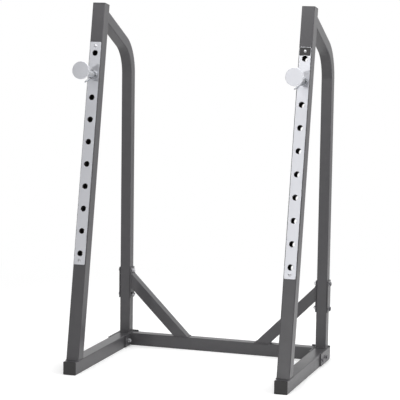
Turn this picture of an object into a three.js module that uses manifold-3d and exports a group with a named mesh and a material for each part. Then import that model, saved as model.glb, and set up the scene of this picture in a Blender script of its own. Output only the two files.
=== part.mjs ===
import * as THREE from 'three';
import { mergeVertices } from 'three/addons/utils/BufferGeometryUtils.js';
import Module from 'manifold-3d';

// Squat stand, in millimetres. +Z is up, -Y is the front, where the barbell is racked, and +X is right.
// The origin lies on the floor in the middle of the stand's footprint.

// Gap between pieces that sit on each other, and how far a cutting shape runs past what it cuts
const seatGap = 0.3;
const cutOverrun = 2;

// Side frames: a leaning upright on a floor tube, held at the top by a bent rear post
const frameSpacing = 985;
const leanAngle = THREE.MathUtils.degToRad(10.7);
const uprightSide = 60;
const uprightWall = 3;
const uprightTopHeight = 1660;
const tubeCornerRadius = 4;
const baseSide = 60;
const baseWall = 3;
const baseToe = 18;
const postSide = 50;
const postWall = 3;
const postSetback = 677;
const postBendRadius = 175;
const postTopSlope = THREE.MathUtils.degToRad(26.5);
const postJoinDrop = 60;

// Polished strip with the row of holes, screwed to the front of each upright
const stripWidth = 52;
const stripThickness = 3;
const stripCornerRadius = 5;
const stripTopMargin = 178;
const stripFootMargin = 434;
const holeSpacing = 101.6;
const holeDiameter = 26.5;
const stripScrewInset = 18;
const screwDiameter = 6;
const screwHoleDiameter = 6.8;
const screwHeadDiameter = 13;
const screwHeadHeight = 3.6;
const screwTailLength = 6;

// Plastic plugs in the open tube ends
const capThickness = 3;
const capPlugDepth = 16;

// Bar rest: a shouldered peg with a round stop plate, and a turning collar with a short lever
const freeTopHoleCount = 1;
const pegDiameter = 30;
const pegReach = 150;
const tailDiameter = 25;
const tailEndLength = 6;
const pegEndChamfer = 2;
const stopDiameter = 80;
const stopThickness = 10;
const stopEdgeRadius = 1.5;
const stopSocketDepth = 5;
const collarDiameter = 40;
const collarLength = 12;
const collarChamfer = 1;
const leverDiameter = 8;
const leverReach = 52;
const leverSocketDepth = 4;
const leverAngle = THREE.MathUtils.degToRad(45);

// Rear crossmember with two braces, bolted to both frames through folded brackets
const crossHeight = 60;
const crossDepth = 50;
const crossWall = 3;
const braceSide = 50;
const braceWall = 3;
const braceAngle = THREE.MathUtils.degToRad(45);
const braceJoinHeight = 319;
const plateThickness = 5;
const postBracketHeight = 150;
const postBracketDrop = 12;
const postBoltInset = 16;
const baseBracketHeight = 62;
const baseBracketClearance = 4;
const baseBracketStep = 5;
const baseBracketTab = 18;
const baseBracketChamfer = 14;
const baseBoltSetback = 36.7;
const baseBoltSpacing = 70;
const baseBoltInset = 20;
const baseBracketInnerMargin = 40;

// Hexagon bolts, washers and nuts
const boltDiameter = 10;
const boltHoleDiameter = 11;
const boltHeadWidth = 16;
const boltHeadHeight = 6.4;
const washerDiameter = 20;
const washerThickness = 2;
const nutHeight = 8;
const boltEndLength = 3;

// How finely round shapes are divided
const cornerSteps = 3;
const bendSteps = 10;
const holeSides = 16;
const roundSides = 24;
const boltSides = 12;
const hexSides = 6;
const arcSteps = 3;

const steelGrey = { color: 0x4c4c4e, roughness: 0.42, metalness: 0.1 };
const polished = { color: 0xc4c6c9, roughness: 0.14, metalness: 1 };
const zinc = { color: 0xb9bcc0, roughness: 0.35, metalness: 1 };
const plastic = { color: 0x2f2e2e, roughness: 0.55, metalness: 0 };

const axisX = new THREE.Vector3(1, 0, 0);
const axisY = new THREE.Vector3(0, 1, 0);
const axisZ = new THREE.Vector3(0, 0, 1);

// Places that several pieces share, measured from the upright's front line at the floor
const uprightTopAlong = uprightTopHeight / Math.cos(leanAngle);
const postJoinHeight = uprightTopHeight - postJoinDrop;
const footHeight = baseSide + seatGap;
const footAlong = footHeight / Math.cos(leanAngle);
const stripTopAlong = uprightTopAlong - stripTopMargin;
const stripFootAlong = footAlong + stripFootMargin;
const stripLength = stripTopAlong - stripFootAlong;
const wholeSpacingShare = 0.001;
const holeCount = Math.floor(stripLength / holeSpacing + wholeSpacingShare);
const stripEndMargin = (stripLength - (holeCount - 1) * holeSpacing) / 2;
const topHoleAlong = stripTopAlong - stripEndMargin;
const holeAlongs = Array.from({ length: holeCount }, (_, i) => topHoleAlong - i * holeSpacing);
const screwAlongs = [stripTopAlong - stripScrewInset, stripFootAlong + stripScrewInset];
const postCentreY = postSetback + postSide / 2;
const postBackY = postSetback + postSide;
const bracketBackY = postBackY + seatGap + plateThickness;
const baseFrontY = -baseToe;
const rearBoltY = postCentreY - crossDepth / 2 - baseBoltSetback;
const frontBoltY = rearBoltY - baseBoltSpacing;
const postBracketCentre = braceJoinHeight - postBracketDrop;
const postBoltReach = postBracketHeight / 2 - postBoltInset;
const postBoltHeights = [postBracketCentre - postBoltReach, postBracketCentre + postBoltReach];
const restAlong = holeAlongs[freeTopHoleCount];

const wasm = await Module();
wasm.setup();

// A closed geometry with shared corners, no collapsed triangles and its faces turned outward
function tidy(geometry) {
  const bare = geometry.clone();
  bare.deleteAttribute('normal');
  bare.deleteAttribute('uv');
  const merged = mergeVertices(bare);
  const place = merged.getAttribute('position');
  const kept = [];
  let volume = 0;
  const corners = [new THREE.Vector3(), new THREE.Vector3(), new THREE.Vector3()];
  for (let i = 0; i < merged.index.count; i += corners.length) {
    const [a, b, c] = corners.map((_, k) => merged.index.getX(i + k));
    if (a === b || b === c || c === a) continue;
    kept.push([a, b, c]);
    [a, b, c].forEach((index, k) => corners[k].fromBufferAttribute(place, index));
    volume += corners[0].dot(corners[1].clone().cross(corners[2]));
  }
  merged.setIndex(kept.flatMap(([a, b, c]) => (volume < 0 ? [a, c, b] : [a, b, c])));
  return merged;
}

function solid(geometry) {
  const closed = tidy(geometry);
  const mesh = new wasm.Mesh({
    numProp: 3,
    vertProperties: new Float32Array(closed.getAttribute('position').array),
    triVerts: new Uint32Array(closed.index.array),
  });
  return new wasm.Manifold(mesh);
}

function geometryOf(manifold) {
  const mesh = manifold.getMesh();
  const corners = new THREE.BufferAttribute(new Float32Array(mesh.vertProperties), mesh.numProp);
  const geometry = new THREE.BufferGeometry();
  geometry.setAttribute('position', corners);
  geometry.setIndex(new THREE.BufferAttribute(new Uint32Array(mesh.triVerts), 1));
  return geometry;
}

function join(geometries) {
  return geometryOf(geometries.map(solid).reduce((whole, piece) => whole.add(piece)));
}

function cut(geometry, tools) {
  return geometryOf(tools.map(solid).reduce((whole, tool) => whole.subtract(tool), solid(geometry)));
}

function roundedRectangle(width, height, radius) {
  const points = [];
  const corners = [[1, 1], [-1, 1], [-1, -1], [1, -1]];
  corners.forEach(([sx, sy], quarter) => {
    for (let i = 0; i <= cornerSteps; i++) {
      const angle = (quarter + i / cornerSteps) * Math.PI / 2;
      points.push(new THREE.Vector2(
        sx * (width / 2 - radius) + radius * Math.cos(angle),
        sy * (height / 2 - radius) + radius * Math.sin(angle),
      ));
    }
  });
  return points;
}

// A ring of section points on a cut through a tube: the cut's plane may slant to the tube's run
function station(centre, run, across, cutNormal = run) {
  const up = across.clone().cross(run);
  const slant = (side) => side.clone().addScaledVector(run, -side.dot(cutNormal) / run.dot(cutNormal));
  return { centre, across: slant(across), up: slant(up) };
}

// A rectangular tube, open at both ends, that runs through its stations
function tube(width, height, wall, stations) {
  const innerRadius = Math.max(tubeCornerRadius - wall, wall / cornerSteps);
  const rings = [
    roundedRectangle(width, height, tubeCornerRadius),
    roundedRectangle(width - 2 * wall, height - 2 * wall, innerRadius),
  ];
  const count = rings[0].length;
  const positions = [];
  for (const { centre, across, up } of stations) {
    for (const ring of rings) {
      for (const point of ring) {
        const spot = centre.clone().addScaledVector(across, point.x).addScaledVector(up, point.y);
        positions.push(spot.x, spot.y, spot.z);
      }
    }
  }
  const triangles = [];
  const quad = (a, b, c, d) => triangles.push(a, b, c, a, c, d);
  const spot = (s, ring, i) => (s * rings.length + ring) * count + (i % count);
  const last = stations.length - 1;
  for (let i = 0; i < count; i++) {
    for (let s = 0; s < last; s++) {
      quad(spot(s, 0, i), spot(s, 0, i + 1), spot(s + 1, 0, i + 1), spot(s + 1, 0, i));
      quad(spot(s, 1, i + 1), spot(s, 1, i), spot(s + 1, 1, i), spot(s + 1, 1, i + 1));
    }
    quad(spot(0, 0, i + 1), spot(0, 0, i), spot(0, 1, i), spot(0, 1, i + 1));
    quad(spot(last, 0, i), spot(last, 0, i + 1), spot(last, 1, i + 1), spot(last, 1, i));
  }
  const geometry = new THREE.BufferGeometry();
  geometry.setAttribute('position', new THREE.Float32BufferAttribute(positions, 3));
  geometry.setIndex(triangles);
  return tidy(geometry);
}

// A cylinder between two points, with flat ends
function rod(diameter, from, to, sides) {
  const run = to.clone().sub(from);
  const geometry = new THREE.CylinderGeometry(diameter / 2, diameter / 2, run.length(), sides);
  geometry.applyQuaternion(new THREE.Quaternion().setFromUnitVectors(axisY, run.clone().normalize()));
  const middle = from.clone().add(to).multiplyScalar(1 / 2);
  geometry.translate(middle.x, middle.y, middle.z);
  return tidy(geometry);
}

// A turned piece on the local Y axis, whose profile gives radius and distance out of the upright's face
function turned(profile, sides = roundSides) {
  const points = profile.map(([radius, out]) => new THREE.Vector2(radius, -out));
  return tidy(new THREE.LatheGeometry(points, sides));
}

function shapeOf(points) {
  return new THREE.Shape(points);
}

function quarterArc(centre, radius, startQuarter) {
  return Array.from({ length: arcSteps + 1 }, (_, i) => {
    const angle = (startQuarter + i / arcSteps) * Math.PI / 2;
    return [centre[0] + radius * Math.cos(angle), centre[1] + radius * Math.sin(angle)];
  });
}

function mesh(name, geometry, finish) {
  const piece = new THREE.Mesh(geometry, new THREE.MeshStandardMaterial(finish));
  piece.geometry.computeVertexNormals();
  piece.name = name;
  return piece;
}

// Upright, strip and cap stand in the leaning frame: local Z runs up the upright and local Y into its face

function uprightGeometry() {
  const centreY = uprightSide / 2;
  // The foot's cut is level with the floor, which slants in the leaning frame
  const floorNormal = axisZ.clone().applyAxisAngle(axisX, leanAngle);
  const footCentre = new THREE.Vector3(0, centreY, footAlong + centreY * Math.tan(leanAngle));
  const topCentre = new THREE.Vector3(0, centreY, uprightTopAlong);
  const bare = tube(uprightSide, uprightSide, uprightWall, [
    station(footCentre, axisZ, axisX, floorNormal),
    station(topCentre, axisZ, axisX),
  ]);
  const through = (along, diameter, depth) => rod(
    diameter,
    new THREE.Vector3(0, -cutOverrun, along),
    new THREE.Vector3(0, depth, along),
    holeSides,
  );
  return cut(bare, [
    ...holeAlongs.map((along) => through(along, holeDiameter, uprightSide + cutOverrun)),
    ...screwAlongs.map((along) => through(along, screwHoleDiameter, uprightWall + cutOverrun)),
  ]);
}

function stripGeometry() {
  const outline = shapeOf(roundedRectangle(stripWidth, stripLength, stripCornerRadius));
  const middleAlong = (stripTopAlong + stripFootAlong) / 2;
  const addHole = (along, diameter) => {
    const hole = new THREE.Path();
    hole.absarc(0, along - middleAlong, diameter / 2, 0, 2 * Math.PI, true);
    outline.holes.push(hole);
  };
  holeAlongs.forEach((along) => addHole(along, holeDiameter));
  screwAlongs.forEach((along) => addHole(along, screwHoleDiameter));
  const plate = new THREE.ExtrudeGeometry(outline, {
    depth: stripThickness,
    bevelEnabled: false,
    curveSegments: holeSides / 2,
  });
  plate.rotateX(Math.PI / 2);
  plate.translate(0, -seatGap, middleAlong);
  return tidy(plate);
}

function stripScrewGeometry(along) {
  const headSeat = 2 * seatGap + stripThickness;
  const tail = -(uprightWall + screwTailLength);
  const dome = Array.from({ length: arcSteps + 1 }, (_, i) => {
    const angle = (i / arcSteps) * Math.PI / 2;
    return [screwHeadDiameter / 2 * Math.cos(angle), headSeat + screwHeadHeight * Math.sin(angle)];
  });
  const screw = turned([
    [0, tail],
    [screwDiameter / 2, tail],
    [screwDiameter / 2, headSeat],
    ...dome.slice(0, -1),
    [0, headSeat + screwHeadHeight],
  ], boltSides);
  screw.translate(0, 0, along);
  return screw;
}

// A plug for a tube end, with its cover's outer face pointing along +Z and the tube's end at zero
function capGeometry(side, wall) {
  const block = (width, radius, from, to) => {
    const shape = shapeOf(roundedRectangle(width, width, radius));
    const piece = new THREE.ExtrudeGeometry(shape, { depth: to - from, bevelEnabled: false });
    piece.translate(0, 0, from);
    return piece;
  };
  const plugWidth = side - 2 * wall - 2 * seatGap;
  return join([
    block(side, tubeCornerRadius, seatGap, seatGap + capThickness),
    block(plugWidth, tubeCornerRadius / 2, -capPlugDepth, seatGap + capThickness / 2),
  ]);
}

function pegGeometry() {
  const shoulder = stripThickness + 3 * seatGap + collarLength;
  const tail = -(uprightSide + tailEndLength);
  return turned([
    [0, tail],
    [tailDiameter / 2 - pegEndChamfer, tail],
    [tailDiameter / 2, tail + pegEndChamfer],
    [tailDiameter / 2, shoulder],
    [pegDiameter / 2, shoulder],
    [pegDiameter / 2, pegReach + stopSocketDepth - seatGap],
    [0, pegReach + stopSocketDepth - seatGap],
  ]);
}

function stopGeometry() {
  const front = pegReach + stopThickness;
  const socketRadius = pegDiameter / 2 + seatGap;
  const edge = (out, sign) => {
    const bend = quarterArc([stopDiameter / 2 - stopEdgeRadius, 0], stopEdgeRadius, 0);
    return bend.map(([radius, rise]) => [radius, out + sign * (rise - stopEdgeRadius)]);
  };
  return turned([
    [0, pegReach + stopSocketDepth],
    [socketRadius, pegReach + stopSocketDepth],
    [socketRadius, pegReach],
    ...edge(pegReach, -1).reverse(),
    ...edge(front, 1),
    [0, front],
  ]);
}

function collarGeometry() {
  const back = stripThickness + 2 * seatGap;
  const front = back + collarLength;
  const bore = tailDiameter / 2 + seatGap;
  const rim = collarDiameter / 2;
  const ring = turned([
    [bore, back],
    [rim - collarChamfer, back],
    [rim, back + collarChamfer],
    [rim, front - collarChamfer],
    [rim - collarChamfer, front],
    [bore, front],
    [bore, back],
  ]);
  const { towards, middle } = leverPlace();
  const socketStart = middle.clone().addScaledVector(towards, rim - leverSocketDepth);
  const socketEnd = middle.clone().addScaledVector(towards, rim + cutOverrun);
  return cut(ring, [rod(leverDiameter + 2 * seatGap, socketStart, socketEnd, holeSides)]);
}

function leverPlace() {
  const middleOut = stripThickness + 2 * seatGap + collarLength / 2;
  return {
    towards: new THREE.Vector3(-Math.sin(leverAngle), 0, -Math.cos(leverAngle)),
    middle: new THREE.Vector3(0, -middleOut, 0),
  };
}

// The lever is a pin with a round tip, seated in a socket in the collar's rim
function leverGeometry() {
  const { towards, middle } = leverPlace();
  const radius = leverDiameter / 2;
  const start = collarDiameter / 2 - leverSocketDepth + seatGap;
  const tip = Array.from({ length: arcSteps + 1 }, (_, i) => {
    const angle = (i / arcSteps) * Math.PI / 2;
    return new THREE.Vector2(radius * Math.cos(angle), leverReach - radius + radius * Math.sin(angle));
  });
  const profile = [
    new THREE.Vector2(0, start),
    new THREE.Vector2(radius, start),
    ...tip.slice(0, -1),
    new THREE.Vector2(0, leverReach),
  ];
  const pin = tidy(new THREE.LatheGeometry(profile, boltSides));
  pin.applyQuaternion(new THREE.Quaternion().setFromUnitVectors(axisY, towards));
  pin.translate(middle.x, middle.y, middle.z);
  return pin;
}

// Floor tube, rear post, brackets and braces stand square to the floor

function baseTubeGeometry(x, side) {
  const height = baseSide / 2;
  const bare = tube(baseSide, baseSide, baseWall, [
    station(new THREE.Vector3(x, baseFrontY, height), axisY, axisX),
    station(new THREE.Vector3(x, postBackY, height), axisY, axisX),
  ]);
  const reach = baseSide / 2 + cutOverrun;
  return cut(bare, [
    boltHole(x - side * reach, x + side * reach, rearBoltY, height),
    boltHole(x, x + side * reach, frontBoltY, height),
  ]);
}

function boltHole(fromX, toX, y, z) {
  return rod(boltHoleDiameter, new THREE.Vector3(fromX, y, z), new THREE.Vector3(toX, y, z), boltSides);
}

// The post rises from the floor tube, bends forward and ends against the upright's leaning back face
function rearPostGeometry(x) {
  const backFaceY = (height) => height * Math.tan(leanAngle) + (uprightSide + seatGap) / Math.cos(leanAngle);
  const joinPoint = new THREE.Vector3(x, backFaceY(postJoinHeight), postJoinHeight);
  const topRun = new THREE.Vector3(0, -Math.cos(postTopSlope), Math.sin(postTopSlope));
  const cornerDistance = (postCentreY - joinPoint.y) / Math.cos(postTopSlope);
  const corner = joinPoint.clone().addScaledVector(topRun, -cornerDistance);
  const turn = Math.PI / 2 - postTopSlope;
  const tangentLength = postBendRadius * Math.tan(turn / 2);
  const bendCentre = new THREE.Vector3(x, postCentreY - postBendRadius, corner.z - tangentLength);
  const backFaceNormal = axisY.clone().applyAxisAngle(axisX, -leanAngle);
  const stations = [station(new THREE.Vector3(x, postCentreY, footHeight), axisZ, axisX)];
  for (let i = 0; i <= bendSteps; i++) {
    const angle = (i / bendSteps) * turn;
    const outward = axisY.clone().applyAxisAngle(axisX, angle);
    const run = axisZ.clone().applyAxisAngle(axisX, angle);
    stations.push(station(bendCentre.clone().addScaledVector(outward, postBendRadius), run, axisX));
  }
  stations.push(station(joinPoint, topRun, axisX, backFaceNormal));
  const bare = tube(postSide, postSide, postWall, stations);
  const reach = postSide / 2 + cutOverrun;
  return cut(bare, postBoltHeights.map((z) => boltHole(x - reach, x + reach, postCentreY, z)));
}

// A folded bracket seen from above, open to the front, that wraps a tube from behind
function foldedPlate(x, side, tubeWidth, outerFrontY, innerFrontY, tab, fromZ, height) {
  const inner = tubeWidth / 2 + seatGap;
  const outer = inner + plateThickness;
  const insideY = postBackY + seatGap;
  const fold = plateThickness;
  const corner = quarterArc([outer - fold, bracketBackY - fold], fold, 0);
  const innerEnd = tab > 0
    ? [[-outer - tab, bracketBackY], [-outer - tab, insideY], [-outer, insideY]]
    : quarterArc([-(outer - fold), bracketBackY - fold], fold, 1);
  const outline = [
    [outer, outerFrontY],
    ...corner,
    ...innerEnd,
    [-outer, innerFrontY],
    [-inner, innerFrontY],
    [-inner, insideY],
    [inner, insideY],
    [inner, outerFrontY],
  ];
  const points = outline.map(([u, y]) => new THREE.Vector2(x + side * u, y));
  const plate = new THREE.ExtrudeGeometry(shapeOf(points), { depth: height, bevelEnabled: false });
  plate.translate(0, 0, fromZ);
  return tidy(plate);
}

function postBracketGeometry(x, side) {
  const fromZ = postBracketCentre - postBracketHeight / 2;
  const plate = foldedPlate(x, side, postSide, postSetback, postSetback, 0, fromZ, postBracketHeight);
  const reach = postSide / 2 + plateThickness + cutOverrun;
  return cut(plate, postBoltHeights.map((z) => boltHole(x - reach, x + reach, postCentreY, z)));
}

function baseBracketGeometry(x, side) {
  const outerFrontY = frontBoltY - baseBoltInset;
  const innerFrontY = rearBoltY - baseBracketInnerMargin;
  const plate = foldedPlate(
    x, side, baseSide, outerFrontY, innerFrontY, baseBracketTab, baseBracketClearance, baseBracketHeight,
  );
  const reach = baseSide / 2 + plateThickness + cutOverrun;
  const height = baseSide / 2;
  // The rear lower edge is cut off at a slant, clear of the floor
  const slant = baseBracketChamfer;
  const wedgeOutline = shapeOf([
    new THREE.Vector2(bracketBackY - slant, baseBracketClearance - cutOverrun),
    new THREE.Vector2(bracketBackY + cutOverrun, baseBracketClearance - cutOverrun),
    new THREE.Vector2(bracketBackY + cutOverrun, baseBracketClearance + slant + cutOverrun),
    new THREE.Vector2(bracketBackY - slant, baseBracketClearance),
  ]);
  const wedgeWidth = 2 * (reach + baseBracketTab);
  const wedge = new THREE.ExtrudeGeometry(wedgeOutline, { depth: wedgeWidth, bevelEnabled: false });
  // The outline's first axis becomes Y, its second Z and the extrusion X
  wedge.applyMatrix4(new THREE.Matrix4().makeBasis(axisY, axisZ, axisX));
  wedge.translate(x - wedgeWidth / 2, 0, 0);
  // The two side plates end a step below the back and its tab
  const sideDepth = postBackY + seatGap - outerFrontY + cutOverrun;
  const stepBlock = new THREE.BoxGeometry(wedgeWidth, sideDepth, 2 * baseBracketStep);
  stepBlock.translate(x, outerFrontY - cutOverrun + sideDepth / 2, baseBracketClearance + baseBracketHeight);
  return cut(plate, [
    wedge,
    stepBlock,
    boltHole(x - side * reach, x + side * reach, rearBoltY, height),
    boltHole(x, x + side * reach, frontBoltY, height),
  ]);
}

function crossmemberGeometry() {
  const end = frameSpacing / 2 - baseSide / 2 - plateThickness - 2 * seatGap;
  return tube(crossDepth, crossHeight, crossWall, [
    station(new THREE.Vector3(-end, postCentreY, crossHeight / 2), axisX, axisY),
    station(new THREE.Vector3(end, postCentreY, crossHeight / 2), axisX, axisY),
  ]);
}

// A brace rises outward from the crossmember's top to the bracket's inner plate
function braceGeometry(side) {
  const topX = frameSpacing / 2 - postSide / 2 - plateThickness - 2 * seatGap;
  const footZ = crossHeight + seatGap;
  const footX = topX - (braceJoinHeight - footZ) / Math.tan(braceAngle);
  const run = new THREE.Vector3(side * Math.cos(braceAngle), 0, Math.sin(braceAngle));
  return tube(braceSide, braceSide, braceWall, [
    station(new THREE.Vector3(side * footX, postCentreY, footZ), run, axisY, axisZ),
    station(new THREE.Vector3(side * topX, postCentreY, braceJoinHeight), run, axisY, axisX),
  ]);
}

// A bolt points along X from its head's seat, away from the side on which the head sits
function boltGeometry(seatX, side, y, z, shankLength) {
  const at = (out) => new THREE.Vector3(seatX + side * out, y, z);
  const acrossCorners = boltHeadWidth / Math.cos(Math.PI / hexSides);
  const headBack = seatGap + washerThickness;
  return join([
    rod(washerDiameter, at(seatGap), at(headBack), roundSides / 2),
    rod(acrossCorners, at(headBack - washerThickness / 2), at(headBack + boltHeadHeight), hexSides),
    rod(boltDiameter, at(-shankLength), at(headBack), boltSides),
  ]);
}

function nutGeometry(seatX, side, y, z) {
  const at = (out) => new THREE.Vector3(seatX + side * out, y, z);
  const acrossCorners = boltHeadWidth / Math.cos(Math.PI / hexSides);
  const nutBack = seatGap + washerThickness;
  const body = join([
    rod(washerDiameter, at(seatGap), at(nutBack), roundSides / 2),
    rod(acrossCorners, at(nutBack - washerThickness / 2), at(nutBack + nutHeight), hexSides),
  ]);
  const boreEnd = at(nutBack + nutHeight + cutOverrun);
  return cut(body, [rod(boltDiameter + 2 * seatGap, at(-cutOverrun), boreEnd, boltSides)]);
}

// Shank length that passes through a stack of the given thickness and just past the nut
function shankThrough(stack) {
  return stack + 2 * seatGap + washerThickness + nutHeight + boltEndLength;
}

function addBolts(frame, word, x, side) {
  const postReach = postSide / 2 + seatGap + plateThickness;
  const baseReach = baseSide / 2 + seatGap + plateThickness;
  const shortStack = plateThickness + seatGap + baseWall;
  const height = baseSide / 2;
  const addPair = (place, headX, nutX, y, z, stack) => {
    const bolt = boltGeometry(headX, side, y, z, shankThrough(stack));
    frame.add(mesh(`${word}_${place[0]}_bolt_${place[1]}`, bolt, zinc));
    frame.add(mesh(`${word}_${place[0]}_nut_${place[1]}`, nutGeometry(nutX, -side, y, z), zinc));
  };
  ['lower', 'upper'].forEach((end, i) => {
    const z = postBoltHeights[i];
    addPair(['post', end], x + side * postReach, x - side * postReach, postCentreY, z, 2 * postReach);
  });
  addPair(['base', 'rear'], x + side * baseReach, x - side * baseReach, rearBoltY, height, 2 * baseReach);
  // The front bolt holds the outer plate to the tube's near wall, with its nut inside the tube
  const innerFaceX = x + side * (baseSide / 2 - baseWall);
  addPair(['base', 'front'], x + side * baseReach, innerFaceX, frontBoltY, height, shortStack);
}

function leaningFrame(word, x) {
  const frame = new THREE.Group();
  frame.position.x = x;
  frame.rotation.x = -leanAngle;
  frame.add(mesh(`${word}_upright`, uprightGeometry(), steelGrey));
  frame.add(mesh(`${word}_hole_strip`, stripGeometry(), polished));
  ['upper', 'lower'].forEach((end, i) => {
    frame.add(mesh(`${word}_strip_screw_${end}`, stripScrewGeometry(screwAlongs[i]), zinc));
  });
  const cap = mesh(`${word}_upright_cap`, capGeometry(uprightSide, uprightWall), plastic);
  cap.position.set(0, uprightSide / 2, uprightTopAlong);
  frame.add(cap);
  const rest = new THREE.Group();
  rest.position.z = restAlong;
  rest.add(mesh(`${word}_rest_peg`, pegGeometry(), polished));
  rest.add(mesh(`${word}_rest_stop`, stopGeometry(), polished));
  rest.add(mesh(`${word}_rest_collar`, collarGeometry(), polished));
  rest.add(mesh(`${word}_rest_lever`, leverGeometry(), polished));
  frame.add(rest);
  return frame;
}

function sideFrame(word, side) {
  const x = side * frameSpacing / 2;
  const frame = new THREE.Group();
  frame.add(leaningFrame(word, x));
  frame.add(mesh(`${word}_base_tube`, baseTubeGeometry(x, side), steelGrey));
  frame.add(mesh(`${word}_rear_post`, rearPostGeometry(x), steelGrey));
  frame.add(mesh(`${word}_post_bracket`, postBracketGeometry(x, side), steelGrey));
  frame.add(mesh(`${word}_base_bracket`, baseBracketGeometry(x, side), steelGrey));
  frame.add(mesh(`${word}_brace`, braceGeometry(side), steelGrey));
  const cap = mesh(`${word}_base_cap`, capGeometry(baseSide, baseWall), plastic);
  cap.rotation.x = Math.PI / 2;
  cap.position.set(x, baseFrontY, baseSide / 2);
  frame.add(cap);
  addBolts(frame, word, x, side);
  return frame;
}

const stand = new THREE.Group();
stand.add(sideFrame('left', -1));
stand.add(sideFrame('right', 1));
stand.add(mesh('rear_crossmember', crossmemberGeometry(), steelGrey));

// The middle of the footprint, from the front plugs to the brackets' backs, becomes the origin
const frontmostY = baseFrontY - seatGap - capThickness;
stand.position.y = -(frontmostY + bracketBackY) / 2;

const squatStand = new THREE.Group();
squatStand.add(stand);

export default squatStand;
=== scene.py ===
import math

import bmesh
import bpy
from mathutils import Matrix, Vector


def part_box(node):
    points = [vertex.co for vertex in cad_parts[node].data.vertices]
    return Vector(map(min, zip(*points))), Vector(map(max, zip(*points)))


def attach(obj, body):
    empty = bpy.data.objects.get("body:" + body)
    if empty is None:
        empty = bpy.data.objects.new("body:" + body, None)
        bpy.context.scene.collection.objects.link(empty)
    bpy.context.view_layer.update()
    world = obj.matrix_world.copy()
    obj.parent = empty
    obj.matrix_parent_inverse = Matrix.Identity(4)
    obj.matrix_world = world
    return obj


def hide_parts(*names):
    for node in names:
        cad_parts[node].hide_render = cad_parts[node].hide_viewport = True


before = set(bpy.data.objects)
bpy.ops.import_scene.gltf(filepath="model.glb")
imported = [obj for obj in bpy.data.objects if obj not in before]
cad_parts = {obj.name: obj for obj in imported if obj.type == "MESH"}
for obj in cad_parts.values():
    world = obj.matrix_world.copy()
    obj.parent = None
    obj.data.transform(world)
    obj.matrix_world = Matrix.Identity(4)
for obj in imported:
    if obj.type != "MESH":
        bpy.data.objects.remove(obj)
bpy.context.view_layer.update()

# Squat stand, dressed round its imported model. Everything is in metres in that model's frame:
# +Z is up, -Y is the front, where the barbell is racked, and +X is right.

bl_info = {
    "name": "Squat stand",
    "version": (1, 0, 0),
    "blender": (4, 5, 0),
    "location": "3D View > Sidebar > Squat Stand",
    "description": "Builds a squat stand with pull-out bar rests round its packed model, in a plain studio",
    "category": "Add Mesh",
}

MM = 0.001
SIDES = {"left": -1, "right": 1}

# How finely round shapes are divided
CORNER_STEPS = 8
BEND_STEPS = 40
ROUND_STEPS = 72
EDGE_STEPS = 4
HOLE_STEPS = 48
SHANK_STEPS = 32
BEAD_STEPS = 12
RIDGE_STEPS = 4
RIPPLE_STEPS = 4
ROUNDING_STEPS = 3

SHARP_ANGLE = math.radians(32)  # between faces, above which an edge stays sharp
QUARTER_TURN = math.pi / 2

# Fasteners
HEX_END = 0.95  # the round end of a hexagon, as a share of its width
SUNK = 0.02 * MM  # how far a head sinks into its washer
WASHER_CHAMFER = 0.4 * MM
SHANK_CHAMFER = 1 * MM
THREAD_SHARE = 1.2  # a thread's length, as a share of the end that shows
DOME_SPREAD = 1.02  # a screw's dome, as a share of its head
SOCKET_FLOOR = 0.4  # where a socket starts, as a share of its head's height
SHANK_OVERLAP = 0.2 * MM  # how far a shank reaches into its screw's head

# Small sizes of other pieces
UPRIGHT_CHAMFER = 0.3 * MM
LABEL_CHAMFER = 0.02 * MM
PEG_EDGE = 0.5 * MM
TAIL_CHAMFER = 2 * MM
COLLAR_CHAMFER = 1 * MM
RIBS = 4  # on a tube plug
RIB_DEPTH = 3 * MM  # how much narrower a plug's core is than its ribs
PLUG_CORNER = 2 * MM
COVER_MIDDLE = 0.6  # the flat middle of a plug's cover, as a share of its width
OVERRUN = 2 * MM  # how far a cutter runs past a plate
CUTTER_REACH = 4  # a cutter's length, in tube widths
WANDER_LENGTH = 9  # the distance in millimetres over which a weld bead wanders to and fro

# The studio, in metres
SENSOR_WIDTH = 36  # of the camera, in millimetres
KEY_WIDTH = math.radians(1.6)  # how wide the key light looks
FLOOR_SIZE = 30  # half the floor's width
FADE_START = 1.2  # how far from the stand the floor starts to run into the backdrop
FADE_END = 3.0
BACKDROP_START = -0.3  # the direction's Y at which gloss starts to show the backdrop
BACKDROP_END = 0.2
# Soft panels: their power's name, where they stand, what they face, their width and height
PANELS = {
    "overhead_panel": ("overhead", (0.3, 0.3, 4.2), (0, 0, 0.8), 3.0, 3.0),
    "top_panel": ("top_light", (0, -0.75, 2.35), (0, 0, 1.3), 2.0, 0.6),
    "front_panel": ("front_light", (-0.8, -3.8, 2.55), (0, 0, 1.1), 1.4, 1.2),
    "side_panel": ("side_light", (4.2, 0.6, 2.2), (0, 0, 0.8), 2.5, 2.5),
}

AXIS_X = Vector((1, 0, 0))
AXIS_Y = Vector((0, 1, 0))
AXIS_Z = Vector((0, 0, 1))


def linear(hexadecimal):
    """A colour written as sRGB hex, such as 4b4b4d, in the linear values that shaders take."""
    values = [int(hexadecimal[i:i + 2], 16) / 255 for i in (0, 2, 4)]
    return [v / 12.92 if v <= 0.04045 else ((v + 0.055) / 1.055) ** 2.4 for v in values]


def length(label, note, millimetres):
    return bpy.props.FloatProperty(
        name=label, description=note, default=millimetres * MM, unit="LENGTH", precision=5)


def angle(label, note, degrees):
    return bpy.props.FloatProperty(
        name=label, description=note, default=math.radians(degrees), subtype="ANGLE", unit="ROTATION")


def count(label, note, value):
    return bpy.props.IntProperty(name=label, description=note, default=value, min=1)


def share(label, note, value):
    return bpy.props.FloatProperty(name=label, description=note, default=value, min=0, subtype="FACTOR")


def colour(label, note, hexadecimal):
    return bpy.props.FloatVectorProperty(
        name=label, description=note, default=linear(hexadecimal), size=3, min=0, max=1, subtype="COLOR")


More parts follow.
